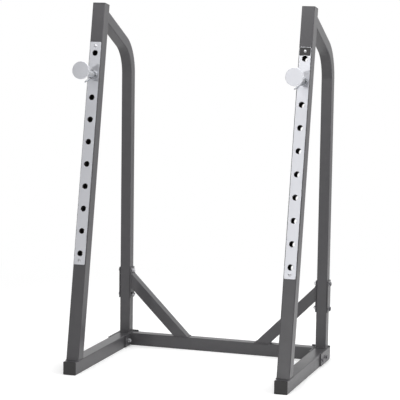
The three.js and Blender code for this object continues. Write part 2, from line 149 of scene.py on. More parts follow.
def number(label, note, value):
    return bpy.props.FloatProperty(name=label, description=note, default=value, min=0)


def place(label, note, metres):
    return bpy.props.FloatVectorProperty(
        name=label, description=note, default=metres, size=3, subtype="TRANSLATION", unit="LENGTH")


def middle(node, axis):
    low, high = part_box(node)
    return (low[axis] + high[axis]) / 2


SPACING = (middle("right_base_tube", 0) - middle("left_base_tube", 0)) / MM
TUBE_SIDE = (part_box("right_base_tube")[1][0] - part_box("right_base_tube")[0][0]) / MM
CROSS_DEPTH = (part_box("rear_crossmember")[1][1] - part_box("rear_crossmember")[0][1]) / MM
CROSS_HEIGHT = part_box("rear_crossmember")[1][2] / MM


class STAND_PG_tubes(bpy.types.PropertyGroup):
    spacing: length("Spacing", "Distance between the middles of the two side frames", SPACING)
    lean: angle("Lean", "How far each upright leans back", 10.7)
    side: length("Side", "Width of the uprights and floor tubes", TUBE_SIDE)
    post_side: length("Post side", "Width of the rear posts and braces", CROSS_DEPTH)
    wall: length("Wall", "Wall thickness of all tubes", 3)
    corner: length("Corner radius", "Outer corner radius of all tubes", 4)
    top_height: length("Top height", "Height of the uprights' front top edge", 1660)
    toe: length("Toe", "How far a floor tube reaches in front of its upright's foot", 18)
    setback: length("Setback", "From the upright's front line at the floor back to the rear post", 677)
    join_drop: length("Join drop", "How far below the upright's top the rear post meets it", 60)
    bend_radius: length("Bend radius", "Radius of the rear post's bend, to the tube's middle", 175)
    top_slope: angle("Top slope", "Slope of the rear post's upper end", 26.5)
    gap: length("Seat gap", "Clearance between pieces that sit on each other", 0.3)
    cross_height: length("Crossmember height", "Height of the rear crossmember", CROSS_HEIGHT)
    brace_angle: angle("Brace angle", "Slope of the braces", 45)
    brace_join: length("Brace join", "Height at which a brace meets the post's bracket", 319)
    cap_thickness: length("Cap thickness", "Thickness of the covers of the tube plugs", 3)
    cap_depth: length("Cap depth", "How deep a plug reaches into its tube", 16)
    cap_rounding: length("Cap rounding", "Edge radius of a plug's cover", 1.2)


class STAND_PG_strips(bpy.types.PropertyGroup):
    width: length("Width", "Width of the hole strip", 52)
    thickness: length("Thickness", "Thickness of the hole strip", 3)
    corner: length("Corner radius", "Radius of the strip's corners", 5)
    rounding: length("Edge rounding", "Radius of the strip's front edge", 0.6)
    top_margin: length("Top margin", "From the upright's top down to the strip", 178)
    foot_margin: length("Foot margin", "From the upright's foot up to the strip", 434)
    hole_count: count("Holes", "Holes in each strip", 10)
    hole_spacing: length("Hole spacing", "Distance between the holes", 101.6)
    hole_diameter: length("Hole diameter", "Diameter of the holes", 26.5)
    countersink: length("Hole chamfer", "Width of the chamfer round each hole", 0.4)
    label_height: length("Label height", "Height of the plain label at the top of the right strip", 38)
    label_thickness: length("Label thickness", "Thickness of the label's film", 0.15)
    label_ring: length("Label ring", "Bare plate that the label leaves round the top hole", 2)
    screw_inset: length("Screw inset", "From the strip's ends to its screws", 18)
    screw_head: length("Screw head", "Diameter of the screws' button heads", 13)
    screw_height: length("Screw head height", "Height of the screws' button heads", 3.6)
    screw_shank: length("Screw shank", "Diameter of the screws' shanks", 6)
    screw_socket: length("Screw socket", "Width of the hexagon socket in a screw's head", 4)


class STAND_PG_rests(bpy.types.PropertyGroup):
    hole: count("Hole", "Hole that holds the bar rest, counted from the top", 2)
    peg_diameter: length("Peg diameter", "Diameter of the peg that carries the bar", 30)
    reach: length("Reach", "From the upright's face to the stop plate", 150)
    tail_diameter: length("Tail diameter", "Diameter of the peg's tail in the upright", 25)
    tail_end: length("Tail end", "How far the tail reaches out of the upright's back", 6)
    stop_diameter: length("Stop diameter", "Diameter of the round stop plate", 80)
    stop_thickness: length("Stop thickness", "Thickness of the round stop plate", 10)
    stop_rounding: length("Stop rounding", "Edge radius of the stop plate", 1.5)
    collar_diameter: length("Collar diameter", "Diameter of the turning collar", 40)
    collar_length: length("Collar length", "Length of the turning collar", 12)
    lever_diameter: length("Lever diameter", "Diameter of the lever pin", 8)
    lever_reach: length("Lever reach", "From the peg's axis to the lever's tip", 52)
    lever_angle: angle("Lever angle", "How far the lever points away from straight down", 45)


class STAND_PG_brackets(bpy.types.PropertyGroup):
    plate: length("Plate", "Thickness of the folded plates", 5)
    fold: length("Fold radius", "Inner radius of the folds", 2)
    rounding: length("Edge rounding", "Radius of the plates' painted edges", 0.7)
    post_height: length("Post bracket height", "Height of the bracket round a rear post", 150)
    post_drop: length("Post bracket drop", "From the brace's join down to the bracket's middle", 12)
    post_bolt_inset: length("Post bolt inset", "From the post bracket's ends to its bolts", 16)
    base_height: length("Base bracket height", "Height of the bracket at a floor tube's rear end", 62)
    base_clearance: length("Base clearance", "From the floor to the base bracket", 4)
    base_step: length("Side step", "How far the base bracket's side plates end below its back", 5)
    tab: length("Tab", "Width of the base bracket's inner tab", 18)
    cut_corner: length("Cut corner", "Size of the base bracket's cut lower corner", 14)
    bolt_setback: length("Bolt setback", "From the crossmember forward to the rear base bolt", 36.7)
    bolt_spacing: length("Bolt spacing", "Distance between the two base bolts", 70)
    bolt_inset: length("Bolt inset", "From the base bracket's front edge to its front bolt", 20)
    inner_margin: length("Inner margin", "From the rear base bolt to the inner plate's front edge", 40)


class STAND_PG_bolts(bpy.types.PropertyGroup):
    diameter: length("Diameter", "Thread diameter of the frame bolts", 10)
    width: length("Width across flats", "Width of the hexagon heads and nuts", 16)
    head_height: length("Head height", "Height of the bolt heads", 6.4)
    nut_height: length("Nut height", "Height of the nuts", 8)
    washer_diameter: length("Washer diameter", "Diameter of the washers", 20)
    washer_thickness: length("Washer thickness", "Thickness of the washers", 2)
    end_length: length("End length", "Thread that shows past the nut", 3)
    pitch: length("Thread pitch", "Distance between the thread's turns", 1.5)


class STAND_PG_welds(bpy.types.PropertyGroup):
    radius: length("Bead radius", "Radius of the weld beads on the tubes", 3.6)
    ripple: length("Ripple spacing", "Distance between a bead's ripples", 3.2)
    ripple_depth: share("Ripple depth", "How far a ripple sinks, as a share of the bead's radius", 0.14)
    unevenness: length("Unevenness", "How far a bead wanders from its line", 0.5)
    seed: count("Seed", "Seed of the beads' unevenness", 7)


class STAND_PG_finishes(bpy.types.PropertyGroup):
    powder: colour("Powder coat", "Dark grey powder coat on the tubes and brackets", "424144")
    powder_light: colour("Powder coat, light", "Lighter mottling in the powder coat", "484749")
    steel: colour("Satin plate", "Satin nickel-chrome plate on the strips and stop plates", "dcdde2")
    chrome: colour("Chrome", "Hard chrome on the ground round bar of the pegs, collars and levers", "c6c8cc")
    zinc: colour("Zinc plate", "Bright zinc plate on nuts, washers and screws", "dcdcdf")
    phosphate: colour("Phosphate", "Dark grey zinc phosphate on the bolts' heads", "747377")
    plastic: colour("Plastic", "Moulded polyethylene of the tube plugs", "262526")
    film: colour("Label", "Black film of the plain label", "262526")
    bore: colour("Tube inside", "Mill scale on the bare steel inside the tubes", "4f4b48")
    floor: colour("Floor", "Pale studio floor and backdrop", "f4f4f4")


class STAND_PG_studio(bpy.types.PropertyGroup):
    eye: place("Camera", "Where the camera stands", (2.3251, -7.1299, 1.7403))
    target: place("Target", "What the camera looks at", (0.0306, -0.1199, 0.7921))
    roll: angle("Roll", "How far the camera is turned about its own axis", 0.791)
    focal_length: number("Focal length", "Focal length of the lens, in millimetres", 149.2)
    sky: share("Surround light", "Strength of the soft light from all sides", 0.6)
    floor_lift: share("Floor lift", "Brightness added to the floor as the camera sees it, for a white one", 0.2)
    backdrop: share("Backdrop", "Brightness of the white backdrop behind the stand, as gloss shows it", 1.0)
    overhead: number("Overhead light", "Power of the overhead panel, in watts", 42)
    top_light: number("Top light", "Power of the long panel close above the uprights, in watts", 15)
    front_light: number("Front light", "Power of the panel at the front left, in watts", 6.5)
    key_light: number("Key light", "Strength of the small far light at the front left, in W/m2", 0.32)
    key_bearing: angle("Key bearing", "How far to the left of the front the key light stands", 9.8)
    key_height: angle("Key height", "How high the key light stands above the horizon", 6.5)
    side_light: number("Side light", "Power of the panel on the right, in watts", 95)


# The scene's property that holds each group of sizes
GROUPS = {
    "stand_tubes": STAND_PG_tubes,
    "stand_strips": STAND_PG_strips,
    "stand_rests": STAND_PG_rests,
    "stand_brackets": STAND_PG_brackets,
    "stand_bolts": STAND_PG_bolts,
    "stand_welds": STAND_PG_welds,
    "stand_finishes": STAND_PG_finishes,
    "stand_studio": STAND_PG_studio,
}


# Node trees

def add(tree, kind, inputs=None, **settings):
    """Adds a node with its settings, and its inputs as values, sockets to link or lists of sockets."""
    made = tree.nodes.new(kind)
    for name, value in settings.items():
        setattr(made, name, value)
    for key, value in (inputs or {}).items():
        socket = made.inputs[key]
        if isinstance(value, bpy.types.NodeSocket):
            tree.links.new(value, socket)
        elif isinstance(value, list):
            for item in value:
                tree.links.new(item, socket)
        else:
            socket.default_value = value
    return made.outputs[0] if made.outputs else made


def maths(tree, operation, *values):
    """A sum on values or sockets."""
    return add(tree, "ShaderNodeMath", dict(enumerate(values)), operation=operation)


def vector(tree, **parts):
    """A vector from its parts X, Y and Z."""
    return add(tree, "ShaderNodeCombineXYZ", parts)


def moved(tree, geometry, shift=(0, 0, 0), turn=(0, 0, 0), scale=(1, 1, 1)):
    return add(tree, "GeometryNodeTransform", {
        "Geometry": geometry, "Translation": shift, "Rotation": turn, "Scale": scale})


def frustum(tree, sides, top, bottom, height):
    """A prism or a cut-off cone that stands on the origin, from its two radii."""
    return add(tree, "GeometryNodeMeshCone", {
        "Vertices": sides, "Radius Top": top, "Radius Bottom": bottom, "Depth": height})


def solids(tree, operation, inputs):
    return add(tree, "GeometryNodeMeshBoolean", inputs, operation=operation, solver="MANIFOLD")


def without(tree, piece, cutter):
    """A piece with the cutter's shape taken out of it."""
    return solids(tree, "DIFFERENCE", {"Mesh 1": piece, "Mesh 2": cutter})


def overlap(tree, *pieces):
    """What the pieces have in common."""
    return solids(tree, "INTERSECT", {"Mesh 2": list(pieces)})


def swept(tree, path, sides, radius, **inputs):
    """A path as a round rod with that many sides."""
    circle = add(tree, "GeometryNodeCurvePrimitiveCircle", {"Resolution": sides, "Radius": radius})
    return add(tree, "GeometryNodeCurveToMesh", {"Curve": path, "Profile Curve": circle, **inputs})


def joined(tree, *pieces):
    return add(tree, "GeometryNodeJoinGeometry", {"Geometry": list(pieces)})


def dressed(tree, geometry, skin):
    return add(tree, "GeometryNodeSetMaterial", {"Geometry": geometry, "Material": skin})


def realised(tree, geometry):
    return add(tree, "GeometryNodeRealizeInstances", {"Geometry": geometry})


def minus(tree, value):
    return maths(tree, "MULTIPLY", value, -1.0)


def copied(tree, points, piece, turn=(0, 0, 0)):
    """A copy of a piece on each point."""
    return add(tree, "GeometryNodeInstanceOnPoints", {"Points": points, "Instance": piece, "Rotation": turn})


def row(tree, piece, sizes):
    """Copies of a piece along X, by the tree's inputs Copies and Spacing."""
    step = vector(tree, X=sizes["Spacing"])
    return copied(tree, add(tree, "GeometryNodeMeshLine", {"Count": sizes["Copies"], "Offset": step}), piece)


def new_tree(name, **inputs):
    """A geometry node tree with named inputs, listed by their kind, and a dictionary of their sockets."""
    tree = bpy.data.node_groups.new(name, "GeometryNodeTree")
    for kind, labels in inputs.items():
        for label in labels:
            tree.interface.new_socket(name=label, in_out="INPUT", socket_type=f"NodeSocket{kind}")
    tree.interface.new_socket(name="Geometry", in_out="OUTPUT", socket_type="NodeSocketGeometry")
    entry = tree.nodes.new("NodeGroupInput")
    return tree, {label: entry.outputs[label] for labels in inputs.values() for label in labels}


def end_tree(tree, geometry):
    add(tree, "NodeGroupOutput", {"Geometry": geometry})
    return tree


def shared_tree(build):
    """The tree that a function builds, built once."""
    return bpy.data.node_groups.get(build.__name__) or build(build.__name__)


def hole_row(name):
    """Drills a row of chamfered holes down a piece that faces -Y."""
    tree, sizes = new_tree(
        name, Geometry=["Piece"], Int=["Holes"], Material=["Material"],
        Float=["Spacing", "First height", "Diameter", "Chamfer", "Face", "Depth"])
    radius = maths(tree, "DIVIDE", sizes["Diameter"], 2.0)
    line = add(tree, "GeometryNodeMeshLine", {
        "Count": sizes["Holes"], "Start Location": vector(tree, Z=sizes["First height"]),
        "Offset": vector(tree, Z=minus(tree, sizes["Spacing"]))})
    cylinder = add(tree, "GeometryNodeMeshCylinder", {
        "Vertices": HOLE_STEPS, "Radius": radius, "Depth": sizes["Depth"]})
    drills = copied(tree, line, cylinder, turn=(QUARTER_TURN, 0, 0))
    drilled = without(tree, sizes["Piece"], realised(tree, drills))
    # The chamfer's cone starts in front of the face by the chamfer's width and ends as far behind it
    twice = maths(tree, "MULTIPLY", sizes["Chamfer"], 2.0)
    cone = frustum(tree, HOLE_STEPS, radius, maths(tree, "ADD", radius, twice), twice)
    front = maths(tree, "SUBTRACT", sizes["Face"], sizes["Chamfer"])
    cones = copied(tree, line, moved(tree, cone, vector(tree, Y=front), turn=(-QUARTER_TURN, 0, 0)))
    chamfered = without(tree, drilled, realised(tree, cones))
    # Only the first finish is renewed, so that the bare inside of a tube keeps its own
    is_outside = maths(tree, "LESS_THAN", add(tree, "GeometryNodeInputMaterialIndex"), 0.5)
    return end_tree(tree, add(tree, "GeometryNodeSetMaterial", {
        "Geometry": realised(tree, chamfered), "Selection": is_outside, "Material": sizes["Material"]}))


def stepped_plate(name):
    """A plate with a block cut off it."""
    tree, sizes = new_tree(name, Geometry=["Piece"], Vector=["Block", "Place"], Material=["Material"])
    block = moved(tree, add(tree, "GeometryNodeMeshCube", {"Size": sizes["Block"]}), sizes["Place"])
    stepped = realised(tree, without(tree, sizes["Piece"], block))
    return end_tree(tree, dressed(tree, stepped, sizes["Material"]))


def chamfered_prism(name):
    """A prism on Z whose upper rim is cut back at thirty degrees, as on a bolt's head."""
    tree, sizes = new_tree(name, Int=["Sides"], Float=["Corner radius", "End radius", "Height"])
    radius, end, height = sizes["Corner radius"], sizes["End radius"], sizes["Height"]
    prism = frustum(tree, sizes["Sides"], radius, radius, height)
    cone = frustum(tree, HOLE_STEPS, end, maths(tree, "MULTIPLY_ADD", height, math.sqrt(3), end), height)
    return end_tree(tree, overlap(tree, prism, cone))


def hex_bolt(name):
    """Hexagon bolts with washers and nuts, in a row on X: their heads point along Z from zero."""
    tree, sizes = new_tree(
        name, Int=["Copies"], Material=["Head material", "Material"],
        Float=["Spacing", "Diameter", "Width", "Head height", "Nut height", "Washer diameter",
               "Washer thickness", "Stack", "End length", "Pitch", "Seat gap"])
    gap, pitch, stack, metal = sizes["Seat gap"], sizes["Pitch"], sizes["Stack"], sizes["Material"]

    def prism(sides, radius, end_radius, height):
        return add(tree, "GeometryNodeGroup", {
            "Sides": sides, "Corner radius": radius, "End radius": end_radius, "Height": height,
        }, node_tree=shared_tree(chamfered_prism))

    corner = maths(tree, "DIVIDE", sizes["Width"], math.sqrt(3))
    end = maths(tree, "MULTIPLY", sizes["Width"], HEX_END / 2)
    radius = maths(tree, "DIVIDE", sizes["Washer diameter"], 2.0)
    face = maths(tree, "SUBTRACT", radius, WASHER_CHAMFER)
    washer = prism(HOLE_STEPS, radius, face, sizes["Washer thickness"])
    washer = dressed(tree, moved(tree, washer, vector(tree, Z=gap)), metal)
    hex_height = maths(tree, "ADD", gap, sizes["Washer thickness"])
    hex_seat = vector(tree, Z=maths(tree, "SUBTRACT", hex_height, SUNK))
    head, nut = [
        joined(tree, washer, dressed(tree, moved(tree, prism(6, corner, end, height), hex_seat), skin))
        for height, skin in ((sizes["Head height"], sizes["Head material"]), (sizes["Nut height"], metal))]
    nut = moved(tree, nut, vector(tree, Z=minus(tree, stack)), turn=(math.pi, 0, 0))
    # The shank runs from inside the head to just past the nut
    radius = maths(tree, "DIVIDE", sizes["Diameter"], 2.0)
    radius = maths(tree, "MULTIPLY_ADD", pitch, -0.5, radius)
    past = maths(tree, "ADD", sizes["Nut height"], sizes["End length"])
    past = maths(tree, "ADD", maths(tree, "ADD", past, hex_height), stack)
    shank = prism(SHANK_STEPS, radius, maths(tree, "SUBTRACT", radius, SHANK_CHAMFER),
                  maths(tree, "ADD", past, hex_height))
    shank = moved(tree, shank, vector(tree, Z=hex_height), turn=(math.pi, 0, 0))
    # The thread shows past the nut and runs a little way into it
    thread_length = maths(tree, "MULTIPLY", sizes["End length"], THREAD_SHARE)
    helix = add(tree, "GeometryNodeCurveSpiral", {
        "Resolution": SHANK_STEPS, "Rotations": maths(tree, "DIVIDE", thread_length, pitch),
        "Start Radius": radius, "End Radius": radius, "Height": thread_length})
    ridge = maths(tree, "MULTIPLY", pitch, 0.5)
    thread = swept(tree, helix, RIDGE_STEPS, ridge, **{"Fill Caps": True})
    thread = moved(tree, thread, vector(tree, Z=maths(tree, "MULTIPLY_ADD", past, -1.0, ridge)))
    rod = dressed(tree, joined(tree, shank, thread), metal)
    return end_tree(tree, realised(tree, row(tree, joined(tree, head, nut, rod), sizes)))


def button_screw(name):
    """Button-head screws with hexagon sockets, in a row on X: their heads point along Z from zero."""
    tree, sizes = new_tree(
        name, Int=["Copies"], Material=["Material"],
        Float=["Spacing", "Head diameter", "Head height", "Shank diameter", "Shank length", "Socket width"])
    width, height, shank_length = sizes["Head diameter"], sizes["Head height"], sizes["Shank length"]
    radius = maths(tree, "DIVIDE", width, 2.0)
    # A low dome: a ball squashed to the head's height and cut off at its seat
    ball = add(tree, "GeometryNodeMeshUVSphere", {
        "Segments": HOLE_STEPS, "Rings": HOLE_STEPS // 2, "Radius": 1.0})
    spread = maths(tree, "MULTIPLY", radius, DOME_SPREAD)
    ball = moved(tree, ball, scale=vector(tree, X=spread, Y=spread, Z=height))
    dome = overlap(tree, ball, frustum(tree, HOLE_STEPS, radius, radius, width))
    corner = maths(tree, "DIVIDE", sizes["Socket width"], math.sqrt(3))
    floor = vector(tree, Z=maths(tree, "MULTIPLY", height, SOCKET_FLOOR))
    head = without(tree, dome, moved(tree, frustum(tree, 6, corner, corner, width), floor))
    radius = maths(tree, "DIVIDE", sizes["Shank diameter"], 2.0)
    lift = vector(tree, Z=maths(tree, "MULTIPLY_ADD", shank_length, -1.0, SHANK_OVERLAP))
    shank = moved(tree, frustum(tree, SHANK_STEPS, radius, radius, shank_length), lift)
    screws = realised(tree, row(tree, joined(tree, head, shank), sizes))
    return end_tree(tree, dressed(tree, screws, sizes["Material"]))


def weld_bead(name):
    """A rippled bead along each closed line of edges."""
    tree, sizes = new_tree(
        name, Geometry=["Lines"], Int=["Seed"], Material=["Material"],
        Float=["Radius", "Ripple", "Ripple depth", "Unevenness"])
    path = add(tree, "GeometryNodeMeshToCurve", {"Mesh": sizes["Lines"]})
    step = maths(tree, "DIVIDE", sizes["Ripple"], RIPPLE_STEPS)
    path = add(tree, "GeometryNodeResampleCurve", {"Curve": path, "Length": step}, mode="LENGTH")
    # Each ripple starts full and sinks until the next one laps over it
    along = add(tree, "GeometryNodeSplineParameter").node.outputs["Length"]
    part = maths(tree, "FRACT", maths(tree, "DIVIDE", along, sizes["Ripple"]))
    full = maths(tree, "SUBTRACT", 1.0, maths(tree, "MULTIPLY", part, sizes["Ripple depth"]))
    bead = swept(tree, path, BEAD_STEPS, 1.0, Scale=maths(tree, "MULTIPLY", full, sizes["Radius"]))
    wander = add(tree, "ShaderNodeTexNoise", {
        "W": sizes["Seed"], "Scale": per_metre(WANDER_LENGTH), "Detail": 1.0}, noise_dimensions="4D")
    centred = add(tree, "ShaderNodeVectorMath", {
        0: wander.node.outputs["Color"], 1: (0.5, 0.5, 0.5)}, operation="SUBTRACT")
    shift = add(tree, "ShaderNodeVectorMath", {0: centred, "Scale": sizes["Unevenness"]}, operation="SCALE")
    bead = realised(tree, add(tree, "GeometryNodeSetPosition", {"Geometry": bead, "Offset": shift}))
    return end_tree(tree, dressed(tree, bead, sizes["Material"]))


# Finishes

def per_metre(millimetres):
    """Scale of a noise pattern whose features have that size."""
    return 1 / (millimetres * MM)


def shaded(shade, factor):
    return [value * factor for value in shade]


class Skin:
    """A material in the making. Its patterns lie in the piece's own space, with sizes in millimetres."""

    def __init__(self, name, metallic, roughness):
        self.material = bpy.data.materials.new(name)
        self.material.use_nodes = True
        self.tree = self.material.node_tree
        self.inputs = self.tree.nodes["Principled BSDF"].inputs
        self.inputs["Metallic"].default_value = metallic
        self.inputs["Roughness"].default_value = roughness
        self.spot = add(self.tree, "ShaderNodeTexCoord").node.outputs["Object"]

    def noise(self, size, detail):
        return add(self.tree, "ShaderNodeTexNoise", {
            "Vector": self.spot, "Scale": per_metre(size), "Detail": detail})

    def drawn(self, sizes, detail, turn=0.0):
        """Noise drawn out to a size along each axis, after a turn about X."""
        spot = self.spot
        if turn:
            spot = add(self.tree, "ShaderNodeMapping", {"Vector": spot, "Rotation": (turn, 0, 0)})
        scale = tuple(per_metre(size) for size in sizes)
        spot = add(self.tree, "ShaderNodeMapping", {"Vector": spot, "Scale": scale})
        return add(self.tree, "ShaderNodeTexNoise", {"Vector": spot, "Scale": 1.0, "Detail": detail})

    def clouds(self, dark, light, size, detail):
        """Runs the colour between two shades in clouds, and returns their pattern."""
        pattern = self.noise(size, detail)
        ramp = add(self.tree, "ShaderNodeValToRGB", {"Fac": pattern})
        for element, shade in zip(ramp.node.color_ramp.elements, (dark, light)):
            element.color = (*shade, 1)
        self.tree.links.new(ramp, self.inputs["Base Color"])
        return pattern

    def gloss(self, pattern, smoothest, roughest):
        """Lets the roughness follow a pattern."""
        gloss = add(self.tree, "ShaderNodeMapRange", {
            "Value": pattern, "To Min": smoothest, "To Max": roughest})
        self.tree.links.new(gloss, self.inputs["Roughness"])

    def relief(self, pattern, strength, depth):
        """Lets the surface rise with a pattern, by that depth at full strength."""
        bump = add(self.tree, "ShaderNodeBump", {
            "Height": pattern, "Strength": strength, "Distance": depth * MM})
        self.tree.links.new(bump, self.inputs["Normal"])


def powder_coat(skin, finishes):
    """Polyester powder, sprayed and baked on steel tube: a satin skin with a fine orange peel."""
    skin.clouds(finishes.powder, finishes.powder_light, size=35, detail=3.0)
    # The film's gloss varies a little where it flowed more
    skin.gloss(skin.noise(size=60, detail=2.0), smoothest=0.3, roughest=0.38)
    # Orange peel is about 3 mm from crest to crest, with a finer grain a third as high on it
    peel, grain = skin.noise(size=3, detail=1.0), skin.noise(size=0.9, detail=2.0)
    skin.relief(maths(skin.tree, "MULTIPLY_ADD", grain, 0.35, peel), strength=0.35, depth=0.12)


def mill_scale(skin, finishes):
    """The inside of the tubes: rolled steel with its dark scale, never painted."""
    skin.clouds(finishes.bore, shaded(finishes.bore, 1.6), size=12, detail=5.0)


def satin_plate(skin, finishes):
    """Satin nickel-chrome plate over linished steel: a broad, silky shine with fine lines up the strip."""
    skin.inputs["Base Color"].default_value = (*finishes.steel, 1)
    # Linishing lines run along the leaning upright, 0.7 mm apart and some 150 mm long
    lines = skin.drawn(sizes=(0.7, 20, 150), detail=3.0, turn=bpy.context.scene.stand_tubes.lean)
    skin.gloss(lines, smoothest=0.38, roughest=0.46)
    skin.relief(lines, strength=0.08, depth=0.02)


def hard_chrome(skin, finishes):
    """Hard chrome on ground round bar: smoother and a little darker than the strips, with fine turned rings."""
    skin.inputs["Base Color"].default_value = (*finishes.chrome, 1)
    skin.gloss(skin.noise(size=4, detail=3.0), smoothest=0.24, roughest=0.3)
    # The marks that grinding leaves go round the bar, drawn here 1 mm apart along it
    skin.relief(skin.drawn(sizes=(60, 1, 60), detail=2.0), strength=0.06, depth=0.02)


def zinc_plate(skin, finishes):
    """Bright zinc on nuts, washers and screws: pale, with cloudy passivation and a soft gloss."""
    clouds = skin.clouds(shaded(finishes.zinc, 0.85), finishes.zinc, size=6, detail=4.0)
    skin.gloss(clouds, smoothest=0.36, roughest=0.48)


def zinc_phosphate(skin, finishes):
    """Zinc phosphate on the bolts' heads: a fine, oiled crystal skin that turns the steel a dull dark grey."""
    skin.clouds(shaded(finishes.phosphate, 0.8), shaded(finishes.phosphate, 1.2), size=5, detail=4.0)


def moulded_plastic(skin, finishes):
    """Injection-moulded polyethylene: black, waxy, with the fine spark-eroded grain of its mould."""
    skin.clouds(finishes.plastic, shaded(finishes.plastic, 1.15), size=15, detail=3.0)
    skin.relief(skin.noise(size=0.8, detail=3.0), strength=0.5, depth=0.08)


def printed_film(skin, finishes):
    """Polypropylene film, printed black and laminated: smooth and half glossy."""
    skin.clouds(finishes.film, shaded(finishes.film, 1.1), size=20, detail=2.0)


# The real material's name, what dresses it, how metallic it is and its roughness where no pattern sets it
FINISHES = {
    "powder": ("polyester_powder_coat_dark_grey", powder_coat, 0.0, 0.5),
    "bore": ("mill_scale_on_rolled_steel", mill_scale, 0.6, 0.6),
    "steel": ("satin_nickel_chrome_plate", satin_plate, 1.0, 0.5),
    "chrome": ("hard_chrome_on_ground_bar", hard_chrome, 1.0, 0.5),
    "zinc": ("bright_zinc_plate_on_fasteners", zinc_plate, 1.0, 0.5),
    "phosphate": ("zinc_phosphate_on_steel_bolts", zinc_phosphate, 1.0, 0.5),
    "plastic": ("polyethylene_moulded_black", moulded_plastic, 0.0, 0.48),
    "film": ("polypropylene_label_film_black", printed_film, 0.0, 0.32),
}


def material(context, key):
    """The finish with that key, made once."""
    name, dress, metallic, roughness = FINISHES[key]
    made = bpy.data.materials.get(name)
    if not made:
        skin = Skin(name, metallic, roughness)
        dress(skin, context.scene.stand_finishes)
        made = skin.material
    return made


# Shapes

def rounded_rectangle(width, height, radius):
    points = []
    for quarter, (sx, sy) in enumerate(((1, 1), (-1, 1), (-1, -1), (1, -1))):
        for i in range(CORNER_STEPS + 1):
            turn = (quarter + i / CORNER_STEPS) * QUARTER_TURN
            points.append(Vector((
                sx * (width / 2 - radius) + radius * math.cos(turn),
                sy * (height / 2 - radius) + radius * math.sin(turn),
            )))
    return points


def arc(centre, radius, start, end, steps=EDGE_STEPS):
    """Points of an arc between two angles in degrees."""
    turns = [math.radians(start + (end - start) * i / steps) for i in range(steps + 1)]
    return [(centre[0] + radius * math.cos(t), centre[1] + radius * math.sin(t)) for t in turns]


def loft(bm, rings, closed=False, finish_of=lambda gap: 0):
    """Faces between rings of points. A ring of one point is a pole, and an open end gets a flat face."""
    rows = [[bm.verts.new(point) for point in ring] for ring in rings]
    pairs = list(zip(rows, rows[1:] + rows[:1] if closed else rows[1:]))
    for gap, (a, b) in enumerate(pairs):
        size = max(len(a), len(b))
        for i in range(size):
            j = (i + 1) % size
            corners = [a[i % len(a)], a[j % len(a)], b[j % len(b)], b[i % len(b)]]
            face = bm.faces.new(list(dict.fromkeys(corners)))
            face.material_index = finish_of(gap)
    if not closed:
        for corners in (rows[0][::-1], rows[-1]):
            if len(corners) > 1:
                bm.faces.new(corners)


def section(outline, centre, run, across, cut=None):
    """An outline on the plane across a tube's run, or on a slanting plane with the normal cut."""
    cut = cut or run
    sides = [side - run * (side.dot(cut) / run.dot(cut)) for side in (across, across.cross(run))]
    return [centre + sides[0] * point.x + sides[1] * point.y for point in outline]


def tube(bm, width, height, tubes, stations):
    """A tube with its walls through stations, each a centre, run, across direction and cut normal."""
    inner_radius = max(tubes.corner - tubes.wall, tubes.gap)
    outer = rounded_rectangle(width, height, tubes.corner)
    inner = rounded_rectangle(width - 2 * tubes.wall, height - 2 * tubes.wall, inner_radius)
    rings = [section(outer, *station) for station in stations]
    rings += [section(inner, *station) for station in reversed(stations)]
    inside = range(len(stations), 2 * len(stations) - 1)
    loft(bm, rings, closed=True, finish_of=lambda gap: int(gap in inside))


def turned(bm, profile, steps=ROUND_STEPS, closed=False):
    """A turned shape whose profile gives radius and distance out along -Y."""
    rings = []
    for radius, out in profile:
        points = steps if radius > 0 else 1
        turns = [2 * math.pi * i / points for i in range(points)]
        rings.append([Vector((radius * math.cos(t), -out, radius * math.sin(t))) for t in turns])
    loft(bm, rings, closed)


def new_piece(name, materials, build=None):
    """A new object whose mesh a function builds."""
    bm = bmesh.new()
    if build:
        build(bm)
    if bm.faces and bm.calc_volume(signed=True) < 0:
        bmesh.ops.reverse_faces(bm, faces=bm.faces[:])
    mesh = bpy.data.meshes.new(name)
    bm.to_mesh(mesh)
    bm.free()
    for item in materials:
        mesh.materials.append(item)
    piece = bpy.data.objects.new(name, mesh)
    bpy.context.scene.collection.objects.link(piece)
    return piece


def tube_piece(context, name, width, height, stations):
    """A tube that is powder coated outside and bare inside."""
    finishes = [material(context, "powder"), material(context, "bore")]
    return new_piece(name, finishes, lambda bm: tube(bm, width, height, context.scene.stand_tubes, stations))


def settle(piece):
    """Turns a piece and its modifiers into a plain mesh."""
    depsgraph = bpy.context.evaluated_depsgraph_get()
    mesh = bpy.data.meshes.new_from_object(
        piece.evaluated_get(depsgraph), preserve_all_data_layers=True, depsgraph=depsgraph)
    piece.modifiers.clear()
    # A tree that builds its shape from nothing leaves an empty slot before its own materials
    if len(mesh.materials) > 1 and not mesh.materials[0]:
        mesh.materials.pop(index=0)
    old, piece.data = piece.data, mesh
    bpy.data.meshes.remove(old)
    mesh.name = piece.name


def named(group):
    """A group's sizes under the names that the node trees know, such as Head height for head_height."""
    return {name.replace("_", " ").capitalize(): getattr(group, name) for name in type(group).__annotations__}


def grow(piece, tree, values):
    """Runs a node tree on a piece with the named inputs."""
    modifier = piece.modifiers.new(tree.name, "NODES")
    modifier.node_group = tree
    for item in tree.interface.items_tree:
        if item.in_out == "INPUT" and item.name in values:
            modifier[item.identifier] = values[item.name]
    settle(piece)


